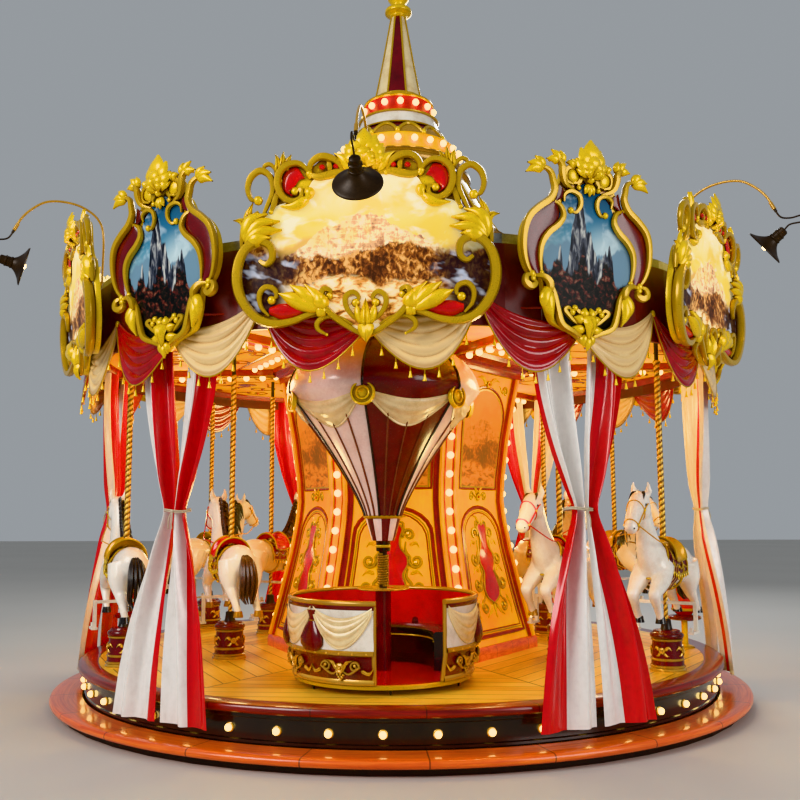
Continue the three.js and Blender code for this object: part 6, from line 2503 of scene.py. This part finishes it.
    def build(self, paints: Paints) -> None:
        """Makes the shared shape in two colourings and sets ten horses."""
        s = self._flesh()
        for part in (self._hair, self._cloth, self._seat, self._straps, self._bridle, self._pole):
            s.merge(part())
        red = [paints.horse, paints.mane_brown, paints.saddle, paints.gold, paints.crimson, paints.gold,
               paints.eye, paints.hoof, paints.twisted, paints.dark, paints.white]
        yellow = [paints.horse, paints.mane, paints.maroon, paints.gold, paints.saddle_gold, paints.gold,
                  paints.eye, paints.black, paints.twisted, paints.dark, paints.white]
        for (row, radius), finishes in zip(HORSE_ROWS.items(), (yellow, red)):
            first = None
            for angle in HORSE_ANGLES:
                name, body = f"horse_and_pole_{row}_{angle}", f"horse_{row}_{angle}"
                if first is None:
                    piece = first = s.build(name, finishes, 45, body, "horse_white")
                else:
                    piece = twin(first, name, body)
                piece.matrix_world = Matrix.Translation(polar(radius, angle)) @ facing(angle + 180)
                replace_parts(piece, body)


@dataclass
class Pedestals:
    """The small turned stands at the two sides of the deck."""

    at: float = 2.4

    def build(self, paints: Paints) -> None:
        """Makes both in one piece."""
        s = Shell()
        for side in (-1, 1):
            one = Shell()
            z = DECK_TOP
            one.lathe([(0.0, z), (0.076, z), (0.078, z + 0.01), (0.06, z + 0.018), (0.028, z + 0.03),
                       (0.026, z + 0.05), (0.026, 0.555)], 24, 1)
            one.lathe([(0.026, 0.555), (0.12, 0.568), (0.137, 0.576), (0.137, 0.594), (0.12, 0.602),
                       (0.06, 0.61)], 32, 0)
            one.lathe([(0.06, 0.61), (0.09, 0.64), (0.1, 0.66), (0.1, 0.95), (0.09, 0.968), (0.0, 0.975)],
                      32, 2)
            for high in (0.655, 0.8, 0.95):
                one.lathe(bead(0.098, 0.008, high, 0.012, 0.006), 32, 1)
            s.merge(one, Matrix.Translation((side * self.at, 0, 0)))
        s.build("side_stands", [paints.maroon, paints.gold, paints.crimson], 40, slot="maroon_lacquer")


@dataclass
class Studio:
    """The camera, the pale floor and the light.

    Attributes:
        distance: from the carousel's axis to the camera.
        height: of the camera above the ground.
        azimuth: the camera's angle from the front, in degrees.
        pitch: how far it looks up, in radians.
        roll: how far it is turned about its own axis, in radians.
        lens: its focal length in millimetres.
        shift: how far the picture is moved up, as a share.
        warm: the colour of the light under the ceiling.
    """

    distance: float = 8.25
    height: float = 1.486
    azimuth: float = 4.286
    pitch: float = 0.1208
    roll: float = -0.0045
    lens: float = 42.09
    shift: float = -0.003
    warm: tuple[float, float, float] = (1.0, 0.83, 0.36)

    def camera(self) -> None:
        """Sets the camera where the photograph was taken."""
        data = bpy.data.cameras.new("camera")
        data.lens, data.sensor_width = self.lens, 36.0
        data.shift_y = self.shift
        data.clip_end = 100
        eye = bpy.data.objects.new("camera", data)
        eye.location = polar(self.distance, self.azimuth, self.height)
        look = facing(self.azimuth) @ Matrix.Rotation(math.pi / 2 + self.pitch, 4, "X")
        look = look @ Matrix.Rotation(self.roll, 4, "Z")
        eye.rotation_euler = look.to_euler()
        bpy.context.scene.collection.objects.link(eye)
        bpy.context.scene.camera = eye

    @staticmethod
    def _lamp(name: str, kind: str, place: Point, aim: Point, energy: float, size: float,
              colour: tuple[float, float, float]) -> None:
        """Adds one light.

        Args:
            name: its name.
            kind: AREA or POINT.
            place: where it is.
            aim: where it points.
            energy: its power in watts.
            size: its width.
            colour: its colour.
        """
        data = bpy.data.lights.new(name, kind)
        data.energy, data.color = energy, colour
        if kind == "AREA":
            data.size = size
        else:
            data.shadow_soft_size = size
        lamp = bpy.data.objects.new(name, data)
        lamp.location = place
        lamp.rotation_euler = (Vector(aim) - Vector(place)).to_track_quat("-Z", "Y").to_euler()
        bpy.context.scene.collection.objects.link(lamp)

    @staticmethod
    def _floor() -> None:
        """Lays the pale floor."""
        g = Graph("floor_paper")
        cloud = g.noise(0.4, 2)
        g.finish(Base_Color=g.mix(cloud, tone(206, 202, 196), tone(196, 192, 186)), Roughness=0.7)
        mesh = bpy.data.meshes.new("floor")
        mesh.from_pydata([(-40, -40, 0), (40, -40, 0), (40, 40, 0), (-40, 40, 0)], [], [(0, 1, 2, 3)])
        mesh.materials.append(g.material)
        floor = bpy.data.objects.new("floor", mesh)
        bpy.context.scene.collection.objects.link(floor)

    @staticmethod
    def _world() -> None:
        """Sets the grey surroundings and the view transform."""
        world = bpy.context.scene.world or bpy.data.worlds.new("world")
        bpy.context.scene.world = world
        world.use_nodes = True
        back = world.node_tree.nodes["Background"]
        back.inputs[0].default_value = (0.62, 0.66, 0.7, 1)
        back.inputs[1].default_value = 0.55
        bpy.context.scene.view_settings.view_transform = "Khronos PBR Neutral"

    def build(self) -> None:
        """Makes the floor, the world and the lights."""
        self._floor()
        self._world()
        for name, place, high, watts, colour in (
                ("key_left", (-7, -9, 7), 2.2, 700, (1, 0.97, 0.93)),
                ("fill_right", (8, -7, 4), 2.0, 320, (1, 0.97, 0.93)),
                ("back_top", (2, 8, 8), 3, 420, (0.95, 0.98, 1))):
            self._lamp(name, "AREA", place, (0, 0, high), watts, 5, colour)
        for k in range(SECTORS):
            corner = k * SECTOR + HALF_SECTOR
            self._lamp(f"glow_{k}", "POINT", polar(1.85, corner, 2.4), (0, 0, 0), 13, 0.12, self.warm)
            self._lamp(f"glow_low_{k}", "POINT", polar(1.75, corner, 1.45), (0, 0, 0), 7, 0.1, self.warm)


def main() -> None:
    """Builds the carousel in order."""
    logging.basicConfig(level=logging.INFO, format="%(message)s")
    studio = Studio()
    studio.camera()
    paints = Paints()
    for part in (Step(), Deck(), Drums(), Pedestals(), Tower(), Ceiling(), Canopy(), Shields(), Lamps(),
                 Crown(), Curtains(), Gondola(), Horses()):
        part.build(paints)
        LOG.info("built %s", type(part).__name__)
    studio.build()


if __name__ == "__main__":
    main()
